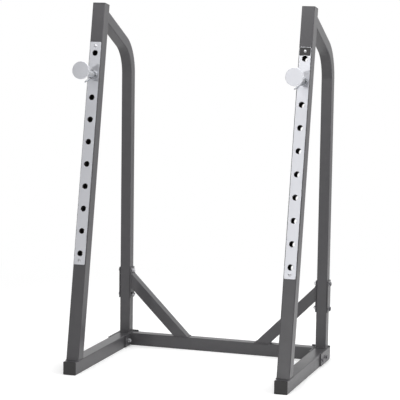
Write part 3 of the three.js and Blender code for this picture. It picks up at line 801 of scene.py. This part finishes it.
def finish(piece, body, nodes, matrix=None, rounding=0):
    """Puts a piece in its place, smooths it, hides the model's parts that it stands for, and hangs it on the
    body that it rides on.
    """
    if matrix:
        piece.data.transform(matrix)
    if rounding:
        bevel = piece.modifiers.new("Rounding", "BEVEL")
        bevel.width = rounding
        bevel.segments = ROUNDING_STEPS
        bevel.limit_method = "ANGLE"
        bevel.angle_limit = SHARP_ANGLE
        settle(piece)
    piece.data.polygons.foreach_set("use_smooth", [True] * len(piece.data.polygons))
    piece.data.set_sharp_from_angle(angle=SHARP_ANGLE)
    weighted = piece.modifiers.new("Weighted normals", "WEIGHTED_NORMAL")
    weighted.keep_sharp = True
    settle(piece)
    if nodes:
        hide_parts(*nodes)
    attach(piece, body)


# Places that several pieces share

def groups(context, *names):
    """The groups of sizes with those names."""
    return [getattr(context.scene, f"stand_{name}") for name in names]


def front_line(tubes):
    """Where the uprights' front faces meet the floor."""
    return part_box("left_base_tube")[0][1] + tubes.toe


def leaning(context, side):
    """Local Z runs up the upright's front face, local Y into it, from its front line at the floor."""
    tubes = context.scene.stand_tubes
    start = Matrix.Translation((side * tubes.spacing / 2, front_line(tubes), 0))
    return start @ Matrix.Rotation(-tubes.lean, 4, "X")


def strip_ends(context):
    """Distances up the upright of the strip's foot and top."""
    tubes, strips = groups(context, "tubes", "strips")
    foot = (tubes.side + tubes.gap) / math.cos(tubes.lean) + strips.foot_margin
    return foot, tubes.top_height / math.cos(tubes.lean) - strips.top_margin


def top_hole(context):
    strips = context.scene.stand_strips
    foot, top = strip_ends(context)
    return top - (top - foot - (strips.hole_count - 1) * strips.hole_spacing) / 2


def post_middle(tubes):
    """Y of the rear posts' middle."""
    return front_line(tubes) + tubes.setback + tubes.post_side / 2


def bracket_back(context):
    tubes = context.scene.stand_tubes
    return post_middle(tubes) + tubes.post_side / 2 + tubes.gap + context.scene.stand_brackets.plate


def rear_bolt(context):
    tubes = context.scene.stand_tubes
    return post_middle(tubes) - tubes.post_side / 2 - context.scene.stand_brackets.bolt_setback


def foot_stations(tubes):
    """The upright's two ends in its own leaning frame, the lower one cut level with the floor."""
    foot = (tubes.side + tubes.gap) / math.cos(tubes.lean)
    half = tubes.side / 2
    level = AXIS_Z.copy()
    level.rotate(Matrix.Rotation(tubes.lean, 3, "X"))
    return [
        (Vector((0, half, foot + half * math.tan(tubes.lean))), AXIS_Z, AXIS_X, level),
        (Vector((0, half, tubes.top_height / math.cos(tubes.lean))), AXIS_Z, AXIS_X),
    ]


def post_stations(tubes, side):
    """Sections of a rear post: up from the floor tube, round its bend and on to the upright's back."""
    x = side * tubes.spacing / 2
    start = front_line(tubes)
    middle_y = post_middle(tubes)
    join_height = tubes.top_height - tubes.join_drop
    back_face = start + join_height * math.tan(tubes.lean) + (tubes.side + tubes.gap) / math.cos(tubes.lean)
    join = Vector((x, back_face, join_height))
    run_up = Vector((0, -math.cos(tubes.top_slope), math.sin(tubes.top_slope)))
    corner = join - run_up * ((middle_y - join.y) / math.cos(tubes.top_slope))
    turn = QUARTER_TURN - tubes.top_slope
    centre = Vector((x, middle_y - tubes.bend_radius, corner.z - tubes.bend_radius * math.tan(turn / 2)))
    stations = [(Vector((x, middle_y, tubes.side + tubes.gap)), AXIS_Z, AXIS_X)]
    for i in range(BEND_STEPS + 1):
        bend = Matrix.Rotation(turn * i / BEND_STEPS, 3, "X")
        stations.append((centre + bend @ AXIS_Y * tubes.bend_radius, bend @ AXIS_Z, AXIS_X))
    upright_normal = Matrix.Rotation(-tubes.lean, 3, "X") @ AXIS_Y
    stations.append((join, run_up, AXIS_X, upright_normal))
    return stations


def brace_stations(context, side):
    tubes, brackets = groups(context, "tubes", "brackets")
    top_x = tubes.spacing / 2 - tubes.post_side / 2 - brackets.plate - 2 * tubes.gap
    foot_z = tubes.cross_height + tubes.gap
    foot_x = top_x - (tubes.brace_join - foot_z) / math.tan(tubes.brace_angle)
    run = Vector((side * math.cos(tubes.brace_angle), 0, math.sin(tubes.brace_angle)))
    y = post_middle(tubes)
    return [
        (Vector((side * foot_x, y, foot_z)), run, AXIS_Y, AXIS_Z),
        (Vector((side * top_x, y, tubes.brace_join)), run, AXIS_Y, AXIS_X),
    ]


def cross_stations(context):
    tubes = context.scene.stand_tubes
    end = tubes.spacing / 2 - tubes.side / 2 - context.scene.stand_brackets.plate - 2 * tubes.gap
    middle_height = tubes.cross_height / 2
    return [(Vector((x, post_middle(tubes), middle_height)), AXIS_X, AXIS_Y) for x in (-end, end)]


def drill(context, piece, key, holes, chamfer, face, depth, wider=0.0):
    """Drills holes at the places of the bar rests' holes, from the top one down."""
    strips = context.scene.stand_strips
    grow(piece, shared_tree(hole_row), {
        "Holes": holes, "Spacing": strips.hole_spacing, "First height": top_hole(context),
        "Diameter": strips.hole_diameter + wider, "Chamfer": chamfer, "Face": face, "Depth": depth,
        "Material": material(context, key),
    })


class StandOperator(bpy.types.Operator):
    """What all steps of the stand share"""
    bl_idname = "stand.step"
    bl_label = "Step"
    bl_options = {"REGISTER", "UNDO"}


class STAND_OT_uprights(StandOperator):
    """Builds the two leaning uprights, drilled through for the bar rests"""
    bl_idname = "stand.uprights"
    bl_label = "Uprights"

    def execute(self, context):
        tubes, strips = groups(context, "tubes", "strips")
        stations = foot_stations(tubes)
        reach = CUTTER_REACH * tubes.side
        for word, side in SIDES.items():
            piece = tube_piece(context, f"{word}_drilled_upright", tubes.side, tubes.side, stations)
            drill(context, piece, "powder", strips.hole_count, UPRIGHT_CHAMFER, 0.0, reach)
            finish(piece, "root", [f"{word}_upright"], leaning(context, side))
        return {"FINISHED"}


class STAND_OT_strips(StandOperator):
    """Builds the satin strips with their row of chamfered holes, and the screws that hold them"""
    bl_idname = "stand.strips"
    bl_label = "Hole strips"

    def execute(self, context):
        tubes, strips = groups(context, "tubes", "strips")
        foot, top = strip_ends(context)
        back, rounding = tubes.gap, strips.rounding
        front = back + strips.thickness
        reach = CUTTER_REACH * tubes.side

        def plate(bm):
            turns = [QUARTER_TURN * i / EDGE_STEPS for i in range(1, EDGE_STEPS + 1)]
            profile = [(0, back), (0, front - rounding)]
            profile += [(rounding * (1 - math.cos(t)), front - rounding * (1 - math.sin(t))) for t in turns]
            rings = []
            for inset, out in profile:
                outline = rounded_rectangle(
                    strips.width - 2 * inset, top - foot - 2 * inset, strips.corner - inset)
                rings.append([Vector((p.x, -out, (top + foot) / 2 + p.y)) for p in outline])
            loft(bm, rings)

        for word, side in SIDES.items():
            piece = new_piece(f"{word}_polished_strip", [material(context, "steel")], plate)
            drill(context, piece, "steel", strips.hole_count, strips.countersink, -front, reach)
            finish(piece, "root", [f"{word}_hole_strip"], leaning(context, side))
            screws = new_piece(f"{word}_strip_screws", [])
            inset = strips.screw_inset
            grow(screws, shared_tree(button_screw), {
                "Copies": 2, "Spacing": top - foot - 2 * inset, "Head diameter": strips.screw_head,
                "Head height": strips.screw_height, "Shank diameter": strips.screw_shank,
                "Shank length": strips.thickness + tubes.wall + 2 * tubes.corner,
                "Socket width": strips.screw_socket, "Material": material(context, "zinc"),
            })
            # The row's X becomes the way up the upright, and Z its way out
            seat = Matrix.Translation((0, -strips.thickness - 2 * tubes.gap, foot + inset))
            upward = Matrix(((0, -1, 0, 0), (0, 0, -1, 0), (1, 0, 0, 0), (0, 0, 0, 1)))
            finish(screws, "root", [f"{word}_strip_screw_upper", f"{word}_strip_screw_lower"],
                   leaning(context, side) @ seat @ upward)
        return {"FINISHED"}


class STAND_OT_label(StandOperator):
    """Builds the plain dark label at the top of the right strip"""
    bl_idname = "stand.label"
    bl_label = "Plain label"

    def execute(self, context):
        tubes, strips = groups(context, "tubes", "strips")
        top = strip_ends(context)[1]
        inset = 2 * strips.rounding
        width = strips.width - 2 * inset
        seat = tubes.gap + strips.thickness
        front = seat + strips.label_thickness
        high, low = top - inset, top - strips.label_height

        def film(bm):
            rounded = rounded_rectangle(width, 2 * (high - low), strips.corner - inset)
            outline = [(p.x, low + p.y) for p in rounded if p.y > 0]
            outline += [(-width / 2, low), (width / 2, low)]
            loft(bm, [[Vector((x, -out, z)) for x, z in outline] for out in (seat, front)])

        piece = new_piece("right_plain_label", [material(context, "film")], film)
        drill(context, piece, "film", 1, LABEL_CHAMFER, -front, tubes.side, wider=2 * strips.label_ring)
        finish(piece, "root", [], leaning(context, SIDES["right"]))
        return {"FINISHED"}


class STAND_OT_floor_tubes(StandOperator):
    """Builds the two tubes that lie on the floor"""
    bl_idname = "stand.floor_tubes"
    bl_label = "Floor tubes"

    def execute(self, context):
        tubes = context.scene.stand_tubes
        front = front_line(tubes) - tubes.toe
        back = post_middle(tubes) + tubes.post_side / 2
        for word, side in SIDES.items():
            x = side * tubes.spacing / 2
            stations = [(Vector((x, y, tubes.side / 2)), AXIS_Y, AXIS_X) for y in (front, back)]
            piece = tube_piece(context, f"{word}_floor_tube", tubes.side, tubes.side, stations)
            finish(piece, "root", [f"{word}_base_tube"])
        return {"FINISHED"}


class STAND_OT_rear_posts(StandOperator):
    """Builds the two bent rear posts"""
    bl_idname = "stand.rear_posts"
    bl_label = "Rear posts"

    def execute(self, context):
        tubes = context.scene.stand_tubes
        for word, side in SIDES.items():
            stations = post_stations(tubes, side)
            piece = tube_piece(context, f"{word}_bent_post", tubes.post_side, tubes.post_side, stations)
            finish(piece, "root", [f"{word}_rear_post"])
        return {"FINISHED"}


class STAND_OT_crossmember(StandOperator):
    """Builds the rear crossmember and its two diagonal braces"""
    bl_idname = "stand.crossmember"
    bl_label = "Crossmember and braces"

    def execute(self, context):
        tubes = context.scene.stand_tubes
        stations = cross_stations(context)
        piece = tube_piece(context, "rear_cross_tube", tubes.post_side, tubes.cross_height, stations)
        finish(piece, "root", ["rear_crossmember"])
        for word, side in SIDES.items():
            stations = brace_stations(context, side)
            brace = tube_piece(context, f"{word}_brace_tube", tubes.post_side, tubes.post_side, stations)
            finish(brace, "root", [f"{word}_brace"])
        return {"FINISHED"}


class STAND_OT_brackets(StandOperator):
    """Builds the folded brackets that wrap the rear posts and the rear ends of the floor tubes"""
    bl_idname = "stand.brackets"
    bl_label = "Brackets"

    def folded(self, context, side, tube_width, outer_front, inner_front, tab, reach):
        """The lower and the upper outline of a plate folded round a tube from behind."""
        tubes, brackets = groups(context, "tubes", "brackets")
        inner = tube_width / 2 + tubes.gap
        outer = inner + brackets.plate
        back = bracket_back(context)
        inside = back - brackets.plate
        fold = brackets.fold
        bend = fold + brackets.plate
        outline = [(outer, outer_front), *arc((outer - bend, back - bend), bend, 0, 90, CORNER_STEPS)]
        if tab:
            outline += [(-outer - tab, back), (-outer - tab, inside)]
            outline += arc((-outer - fold, inside - fold), fold, 90, 0)
        else:
            outline += arc((-outer + bend, back - bend), bend, 90, 180, CORNER_STEPS)
        outline += [(-outer, inner_front), (-inner, inner_front)]
        outline += arc((-inner + fold, inside - fold), fold, 180, 90)
        outline += [*arc((inner - fold, inside - fold), fold, 90, 0), (inner, outer_front)]
        x = side * tubes.spacing / 2
        return [[Vector((x + side * u, y, z)) for u, y in outline] for z in reach]

    def execute(self, context):
        tubes, brackets = groups(context, "tubes", "brackets")
        powder = [material(context, "powder")]
        post_centre = tubes.brace_join - brackets.post_drop
        post_reach = (post_centre - brackets.post_height / 2, post_centre + brackets.post_height / 2)
        post_front = post_middle(tubes) - tubes.post_side / 2
        rear = rear_bolt(context)
        outer_front = rear - brackets.bolt_spacing - brackets.bolt_inset
        base_low = brackets.base_clearance
        base_reach = (base_low, base_low + brackets.base_height)
        for word, side in SIDES.items():
            rings = self.folded(context, side, tubes.post_side, post_front, post_front, 0, post_reach)
            piece = new_piece(f"{word}_folded_post_bracket", powder, lambda bm: loft(bm, rings))
            finish(piece, "root", [f"{word}_post_bracket"], rounding=brackets.rounding)
            rings = self.folded(context, side, tubes.side, outer_front, rear - brackets.inner_margin,
                                brackets.tab, base_reach)

            def cut_plate(bm):
                loft(bm, rings)
                corner = Vector((0, bracket_back(context), base_low + brackets.cut_corner))
                slant = Vector((0, brackets.cut_corner, -brackets.cut_corner)).normalized()
                bmesh.ops.bisect_plane(
                    bm, geom=bm.verts[:] + bm.edges[:] + bm.faces[:], plane_co=corner,
                    plane_no=slant, clear_outer=True)
                bmesh.ops.holes_fill(bm, edges=[e for e in bm.edges if e.is_boundary], sides=0)

            piece = new_piece(f"{word}_folded_base_bracket", powder, cut_plate)
            # The side plates reach from in front of their bolts to the inside of the bracket's back
            inside = bracket_back(context) - brackets.plate
            side_depth = inside - outer_front + OVERRUN
            grow(piece, shared_tree(stepped_plate), {
                "Block": (CUTTER_REACH * tubes.side, side_depth, 2 * brackets.base_step),
                "Place": (side * tubes.spacing / 2, inside - side_depth / 2, base_reach[1]),
                "Material": powder[0],
            })
            finish(piece, "root", [f"{word}_base_bracket"], rounding=brackets.rounding)
        return {"FINISHED"}


class STAND_OT_welds(StandOperator):
    """Lays the weld beads round the feet of the uprights and posts and the ends of the braces"""
    bl_idname = "stand.welds"
    bl_label = "Weld beads"

    def execute(self, context):
        tubes, welds = groups(context, "tubes", "welds")
        small = rounded_rectangle(tubes.post_side, tubes.post_side, tubes.corner)
        large = rounded_rectangle(tubes.side, tubes.side, tubes.corner)
        cross = rounded_rectangle(tubes.post_side, tubes.cross_height, tubes.corner)
        for word, side in SIDES.items():
            foot = section(large, *foot_stations(tubes)[0])
            post = post_stations(tubes, side)
            braces = brace_stations(context, side)
            crossing = cross_stations(context)[0 if side < 0 else 1]
            rings = [[leaning(context, side) @ point for point in foot]]
            rings += [section(small, *post[0]), section(small, *post[-1])]
            rings += [section(small, *braces[0]), section(small, *braces[1]), section(cross, *crossing)]

            # Under the crossmember the bead stays off the floor
            clear = welds.radius + welds.unevenness

            def lines(bm):
                for ring in rings:
                    corners = [bm.verts.new((x, y, max(z, clear))) for x, y, z in ring]
                    for a, b in zip(corners, corners[1:] + corners[:1]):
                        bm.edges.new((a, b))

            beads = new_piece(f"{word}_weld_beads", [], lines)
            grow(beads, shared_tree(weld_bead), {**named(welds), "Material": material(context, "powder")})
            finish(beads, "root", [])
        return {"FINISHED"}


class STAND_OT_caps(StandOperator):
    """Builds the ribbed plastic plugs in the uprights' tops and the floor tubes' front ends"""
    bl_idname = "stand.caps"
    bl_label = "Tube plugs"

    def execute(self, context):
        tubes = context.scene.stand_tubes
        side_length = tubes.side
        # Heights up the plug, from the tube's end
        cover_low, cover_high = tubes.gap, tubes.gap + tubes.cap_thickness
        rib_width = side_length - 2 * tubes.wall - 2 * tubes.gap
        core_width = rib_width - RIB_DEPTH
        rib_step = tubes.cap_depth / (2 * RIBS)

        def plug(bm):
            # Outline width, corner radius and height up the plug, from its inner end to its cover's face
            profile = []
            for rib in range(RIBS):
                low = -tubes.cap_depth + rib * 2 * rib_step
                profile += [(width, PLUG_CORNER, low + up) for width, up in (
                    (core_width, 0), (rib_width, rib_step / 2), (rib_width, rib_step), (core_width, rib_step))]
            profile += [(core_width, PLUG_CORNER, cover_low)]
            radius = tubes.cap_rounding
            for inset, height in arc((radius, cover_low + radius / 2), radius / 2, -90, -180):
                profile.append((side_length - 2 * (inset - radius / 2), tubes.corner, height))
            for inset, height in arc((radius, cover_high - radius), radius, 180, 90):
                profile.append((side_length - 2 * inset, tubes.corner, height))
            profile.append((side_length * COVER_MIDDLE, tubes.corner, cover_high))
            rings = [[Vector((p.x, p.y, height)) for p in rounded_rectangle(width, width, corner)]
                     for width, corner, height in profile]
            loft(bm, rings)

        top = tubes.top_height / math.cos(tubes.lean)
        for word, side in SIDES.items():
            upper = leaning(context, side) @ Matrix.Translation((0, side_length / 2, top))
            front = Vector((side * tubes.spacing / 2, front_line(tubes) - tubes.toe, side_length / 2))
            lower = Matrix.Translation(front) @ Matrix.Rotation(QUARTER_TURN, 4, "X")
            for node, matrix in (("upright_cap", upper), ("base_cap", lower)):
                piece = new_piece(f"{word}_{node.replace('cap', 'plug')}", [material(context, "plastic")], plug)
                finish(piece, "root", [f"{word}_{node}"], matrix)
        return {"FINISHED"}


class STAND_OT_bolts(StandOperator):
    """Builds the hexagon bolts with washers and nuts that hold the rear assembly to the side frames"""
    bl_idname = "stand.bolts"
    bl_label = "Bolts and nuts"

    def execute(self, context):
        tubes, brackets, bolts = groups(context, "tubes", "brackets", "bolts")
        post_reach = tubes.post_side / 2 + tubes.gap + brackets.plate
        base_reach = tubes.side / 2 + tubes.gap + brackets.plate
        post_centre = tubes.brace_join - brackets.post_drop
        bolt_drop = brackets.post_height / 2 - brackets.post_bolt_inset
        rear = rear_bolt(context)
        middle_height = tubes.side / 2
        rows = [
            ("post_bolts", 2, 2 * bolt_drop, 2 * post_reach, post_reach,
             (post_middle(tubes), post_centre - bolt_drop),
             ["post_bolt_lower", "post_nut_lower", "post_bolt_upper", "post_nut_upper"]),
            ("base_rear_bolt", 1, 0.0, 2 * base_reach, base_reach, (rear, middle_height),
             ["base_bolt_rear", "base_nut_rear"]),
            ("base_front_bolt", 1, 0.0, brackets.plate + tubes.gap + tubes.wall, base_reach,
             (rear - brackets.bolt_spacing, middle_height), ["base_bolt_front", "base_nut_front"]),
        ]
        for word, side in SIDES.items():
            for name, copies, spacing, stack, reach, (y, z), nodes in rows:
                piece = new_piece(f"{word}_{name}", [])
                grow(piece, shared_tree(hex_bolt), {
                    **named(bolts), "Copies": copies, "Spacing": spacing, "Stack": stack, "Seat gap": tubes.gap,
                    "Head material": material(context, "phosphate"), "Material": material(context, "zinc"),
                })
                # The bolts' X stands upright, and their Z points out to the side
                seat = Matrix.Translation((side * (tubes.spacing / 2 + reach), y, z))
                outward = Matrix(((0, 0, side, 0), (0, -side, 0, 0), (1, 0, 0, 0), (0, 0, 0, 1)))
                finish(piece, "root", [f"{word}_{node}" for node in nodes], seat @ outward)
        return {"FINISHED"}


class STAND_OT_bar_rests(StandOperator):
    """Builds the pull-out pegs with their stop plates, and the turning collars with their levers"""
    bl_idname = "stand.bar_rests"
    bl_label = "Bar rests"

    def execute(self, context):
        tubes, strips, rests = groups(context, "tubes", "strips", "rests")
        steel, chrome = [material(context, "steel")], [material(context, "chrome")]
        collar_back = strips.thickness + 2 * tubes.gap
        collar_front = collar_back + rests.collar_length
        shoulder = collar_front + tubes.gap
        tail = rests.tail_diameter / 2
        peg_radius = rests.peg_diameter / 2
        tail_end = -(tubes.side + rests.tail_end)
        # The peg ends inside its stop plate
        peg_end = rests.reach + rests.stop_thickness / 2

        def peg(bm):
            turned(bm, [
                (0, tail_end), (tail - TAIL_CHAMFER, tail_end),
                (tail, tail_end + TAIL_CHAMFER), (tail, shoulder),
                *arc((peg_radius - PEG_EDGE, shoulder + PEG_EDGE), PEG_EDGE, -90, 0),
                (peg_radius, peg_end), (0, peg_end),
            ])

        def stop(bm):
            radius, rounding = rests.stop_diameter / 2, rests.stop_rounding
            back, front = rests.reach, rests.reach + rests.stop_thickness
            turned(bm, [
                (0, back), *arc((radius - rounding, back + rounding), rounding, -90, 0),
                *arc((radius - rounding, front - rounding), rounding, 0, 90), (0, front),
            ])

        def collar(bm):
            rim, bore, cut = rests.collar_diameter / 2, tail + tubes.gap, COLLAR_CHAMFER
            turned(bm, [
                (bore, collar_back), *arc((rim - cut, collar_back + cut), cut, -90, 0),
                *arc((rim - cut, collar_front - cut), cut, 0, 90), (bore, collar_front),
            ], closed=True)

        def lever(bm):
            radius = rests.lever_diameter / 2
            start = rests.collar_diameter / 2 - radius
            turned(bm, [
                (0, start), (radius, start), (radius, rests.lever_reach - radius),
                *arc((0, rests.lever_reach - radius), radius, 0, 90, 2 * EDGE_STEPS)[1:-1],
                (0, rests.lever_reach),
            ], steps=SHANK_STEPS)

        height = top_hole(context) - (rests.hole - 1) * strips.hole_spacing
        for word, side in SIDES.items():
            seat = leaning(context, side) @ Matrix.Translation((0, 0, height))
            down = Matrix.Rotation(rests.lever_angle, 4, "Y") @ Matrix.Rotation(QUARTER_TURN, 4, "X")
            lever_seat = seat @ Matrix.Translation((0, -(collar_back + collar_front) / 2, 0)) @ down
            for name, finishes, build, body, node, matrix in (
                ("peg", chrome, peg, "rest", "rest_peg", seat),
                ("stop_plate", steel, stop, "rest", "rest_stop", seat),
                ("lock_collar", chrome, collar, "lock", "rest_collar", seat),
                ("lock_lever", chrome, lever, "lock", "rest_lever", lever_seat),
            ):
                piece = new_piece(f"{word}_{name}", finishes, build)
                finish(piece, f"{word}_{body}", [f"{word}_{node}"], matrix)
        return {"FINISHED"}


class STAND_OT_studio(StandOperator):
    """Sets up the pale floor and backdrop, the lights and the camera"""
    bl_idname = "stand.studio"
    bl_label = "Studio"

    def put(self, context, data, matrix):
        """Puts a camera or a lamp in the scene."""
        item = bpy.data.objects.new(data.name, data)
        context.scene.collection.objects.link(item)
        item.matrix_world = matrix
        return item

    def camera(self, context, studio):
        lens = bpy.data.cameras.new("studio_camera")
        lens.lens = studio.focal_length
        lens.sensor_width = SENSOR_WIDTH
        eye, target = Vector(studio.eye), Vector(studio.target)
        back = (eye - target).normalized()
        right = AXIS_Z.cross(back).normalized()
        up = back.cross(right)
        turn = Matrix.Rotation(studio.roll, 4, back)
        axes = Matrix((right, up, back)).transposed().to_4x4()
        context.scene.camera = self.put(context, lens, Matrix.Translation(eye) @ turn @ axes)

    def panel(self, context, name, power, where, target, width, height):
        """A soft light that faces a point."""
        lamp = bpy.data.lights.new(name, "AREA")
        lamp.shape = "RECTANGLE"
        lamp.size = width
        lamp.size_y = height
        lamp.energy = power
        way = (Vector(target) - Vector(where)).to_track_quat("-Z", "Y")
        self.put(context, lamp, Matrix.Translation(where) @ way.to_matrix().to_4x4())

    def key(self, context, studio):
        """A small light far away at the front left, whose shadows are crisp."""
        lamp = bpy.data.lights.new("key_light", "SUN")
        lamp.energy = studio.key_light
        lamp.angle = KEY_WIDTH
        height = Matrix.Rotation(QUARTER_TURN - studio.key_height, 4, "X")
        self.put(context, lamp, Matrix.Rotation(-studio.key_bearing, 4, "Z") @ height)

    def surround(self, context, studio):
        """White to the camera, and behind the stand in gloss. The room in front is dark, but for its lamps."""
        world = bpy.data.worlds.new("studio_surround")
        world.use_nodes = True
        tree = world.node_tree
        tree.nodes.clear()
        path = add(tree, "ShaderNodeLightPath").node
        way = add(tree, "ShaderNodeTexCoord").node.outputs["Generated"]
        back = add(tree, "ShaderNodeSeparateXYZ", {0: way}).node.outputs["Y"]
        behind = add(tree, "ShaderNodeMapRange", {
            "Value": back, "From Min": BACKDROP_START, "From Max": BACKDROP_END, "To Max": studio.backdrop})
        camera_ray = path.outputs["Is Camera Ray"]
        shown = maths(tree, "MAXIMUM", behind, camera_ray)
        seen = maths(tree, "MAXIMUM", camera_ray, path.outputs["Is Glossy Ray"])
        light = add(tree, "ShaderNodeBackground", {"Color": (1, 1, 1, 1), "Strength": studio.sky})
        white = add(tree, "ShaderNodeBackground", {"Color": (1, 1, 1, 1), "Strength": shown})
        both = add(tree, "ShaderNodeMixShader", {0: seen, 1: light, 2: white})
        add(tree, "ShaderNodeOutputWorld", {"Surface": both})
        context.scene.world = world

    def floor(self, context, studio):
        paint = bpy.data.materials.new("studio_floor_matt_paint")
        paint.use_nodes = True
        tree = paint.node_tree
        tree.nodes.clear()
        matt = add(tree, "ShaderNodeBsdfDiffuse", {"Color": (*context.scene.stand_finishes.floor, 1)})
        camera_ray = add(tree, "ShaderNodeLightPath").node.outputs["Is Camera Ray"]
        lift = maths(tree, "MULTIPLY", camera_ray, studio.floor_lift)
        glow = add(tree, "ShaderNodeEmission", {"Color": (1, 1, 1, 1), "Strength": lift})
        near = add(tree, "ShaderNodeAddShader", {0: matt, 1: glow})
        # Away from the stand the floor runs into the white backdrop
        spot = add(tree, "ShaderNodeTexCoord").node.outputs["Object"]
        away = add(tree, "ShaderNodeVectorMath", {0: spot}, operation="LENGTH").node.outputs["Value"]
        fade = add(tree, "ShaderNodeMapRange", {
            "Value": away, "From Min": FADE_START, "From Max": FADE_END}, interpolation_type="SMOOTHSTEP")
        fade = maths(tree, "MULTIPLY", fade, camera_ray)
        white = add(tree, "ShaderNodeEmission", {"Color": (1, 1, 1, 1), "Strength": 1.0})
        both = add(tree, "ShaderNodeMixShader", {0: fade, 1: near, 2: white})
        add(tree, "ShaderNodeOutputMaterial", {"Surface": both})

        def sheet(bm):
            corners = ((-1, -1), (1, -1), (1, 1), (-1, 1))
            bm.faces.new([bm.verts.new((x * FLOOR_SIZE, y * FLOOR_SIZE, 0)) for x, y in corners])

        floor = new_piece("studio_floor", [paint], sheet)

    def execute(self, context):
        studio = context.scene.stand_studio
        self.camera(context, studio)
        self.surround(context, studio)
        self.floor(context, studio)
        self.key(context, studio)
        for name, (power, *shape) in PANELS.items():
            self.panel(context, name, getattr(studio, power), *shape)
        context.scene.view_settings.view_transform = "Standard"
        return {"FINISHED"}


PIECE_OPERATORS = (
    STAND_OT_uprights, STAND_OT_strips, STAND_OT_label, STAND_OT_floor_tubes, STAND_OT_rear_posts,
    STAND_OT_crossmember, STAND_OT_brackets, STAND_OT_welds, STAND_OT_caps, STAND_OT_bolts, STAND_OT_bar_rests,
    STAND_OT_studio,
)


class STAND_PT_panel(bpy.types.Panel):
    """Lists the steps of the stand and their sizes"""
    bl_idname = "STAND_PT_panel"
    bl_label = "Squat Stand"
    bl_space_type = "VIEW_3D"
    bl_region_type = "UI"
    bl_category = "Squat Stand"

    def draw(self, context):
        for step in PIECE_OPERATORS:
            self.layout.operator(step.bl_idname)
        for name, group in GROUPS.items():
            box = self.layout.box()
            for size in group.__annotations__:
                box.prop(getattr(context.scene, name), size)


CLASSES = (*GROUPS.values(), *PIECE_OPERATORS, STAND_PT_panel)


def register():
    for item in CLASSES:
        bpy.utils.register_class(item)
    for name, group in GROUPS.items():
        setattr(bpy.types.Scene, name, bpy.props.PointerProperty(type=group))


def unregister():
    for name in GROUPS:
        delattr(bpy.types.Scene, name)
    for item in reversed(CLASSES):
        bpy.utils.unregister_class(item)


def main():
    register()
    for step in PIECE_OPERATORS:
        family, name = step.bl_idname.split(".")
        getattr(getattr(bpy.ops, family), name)()


if __name__ == "__main__":
    main()
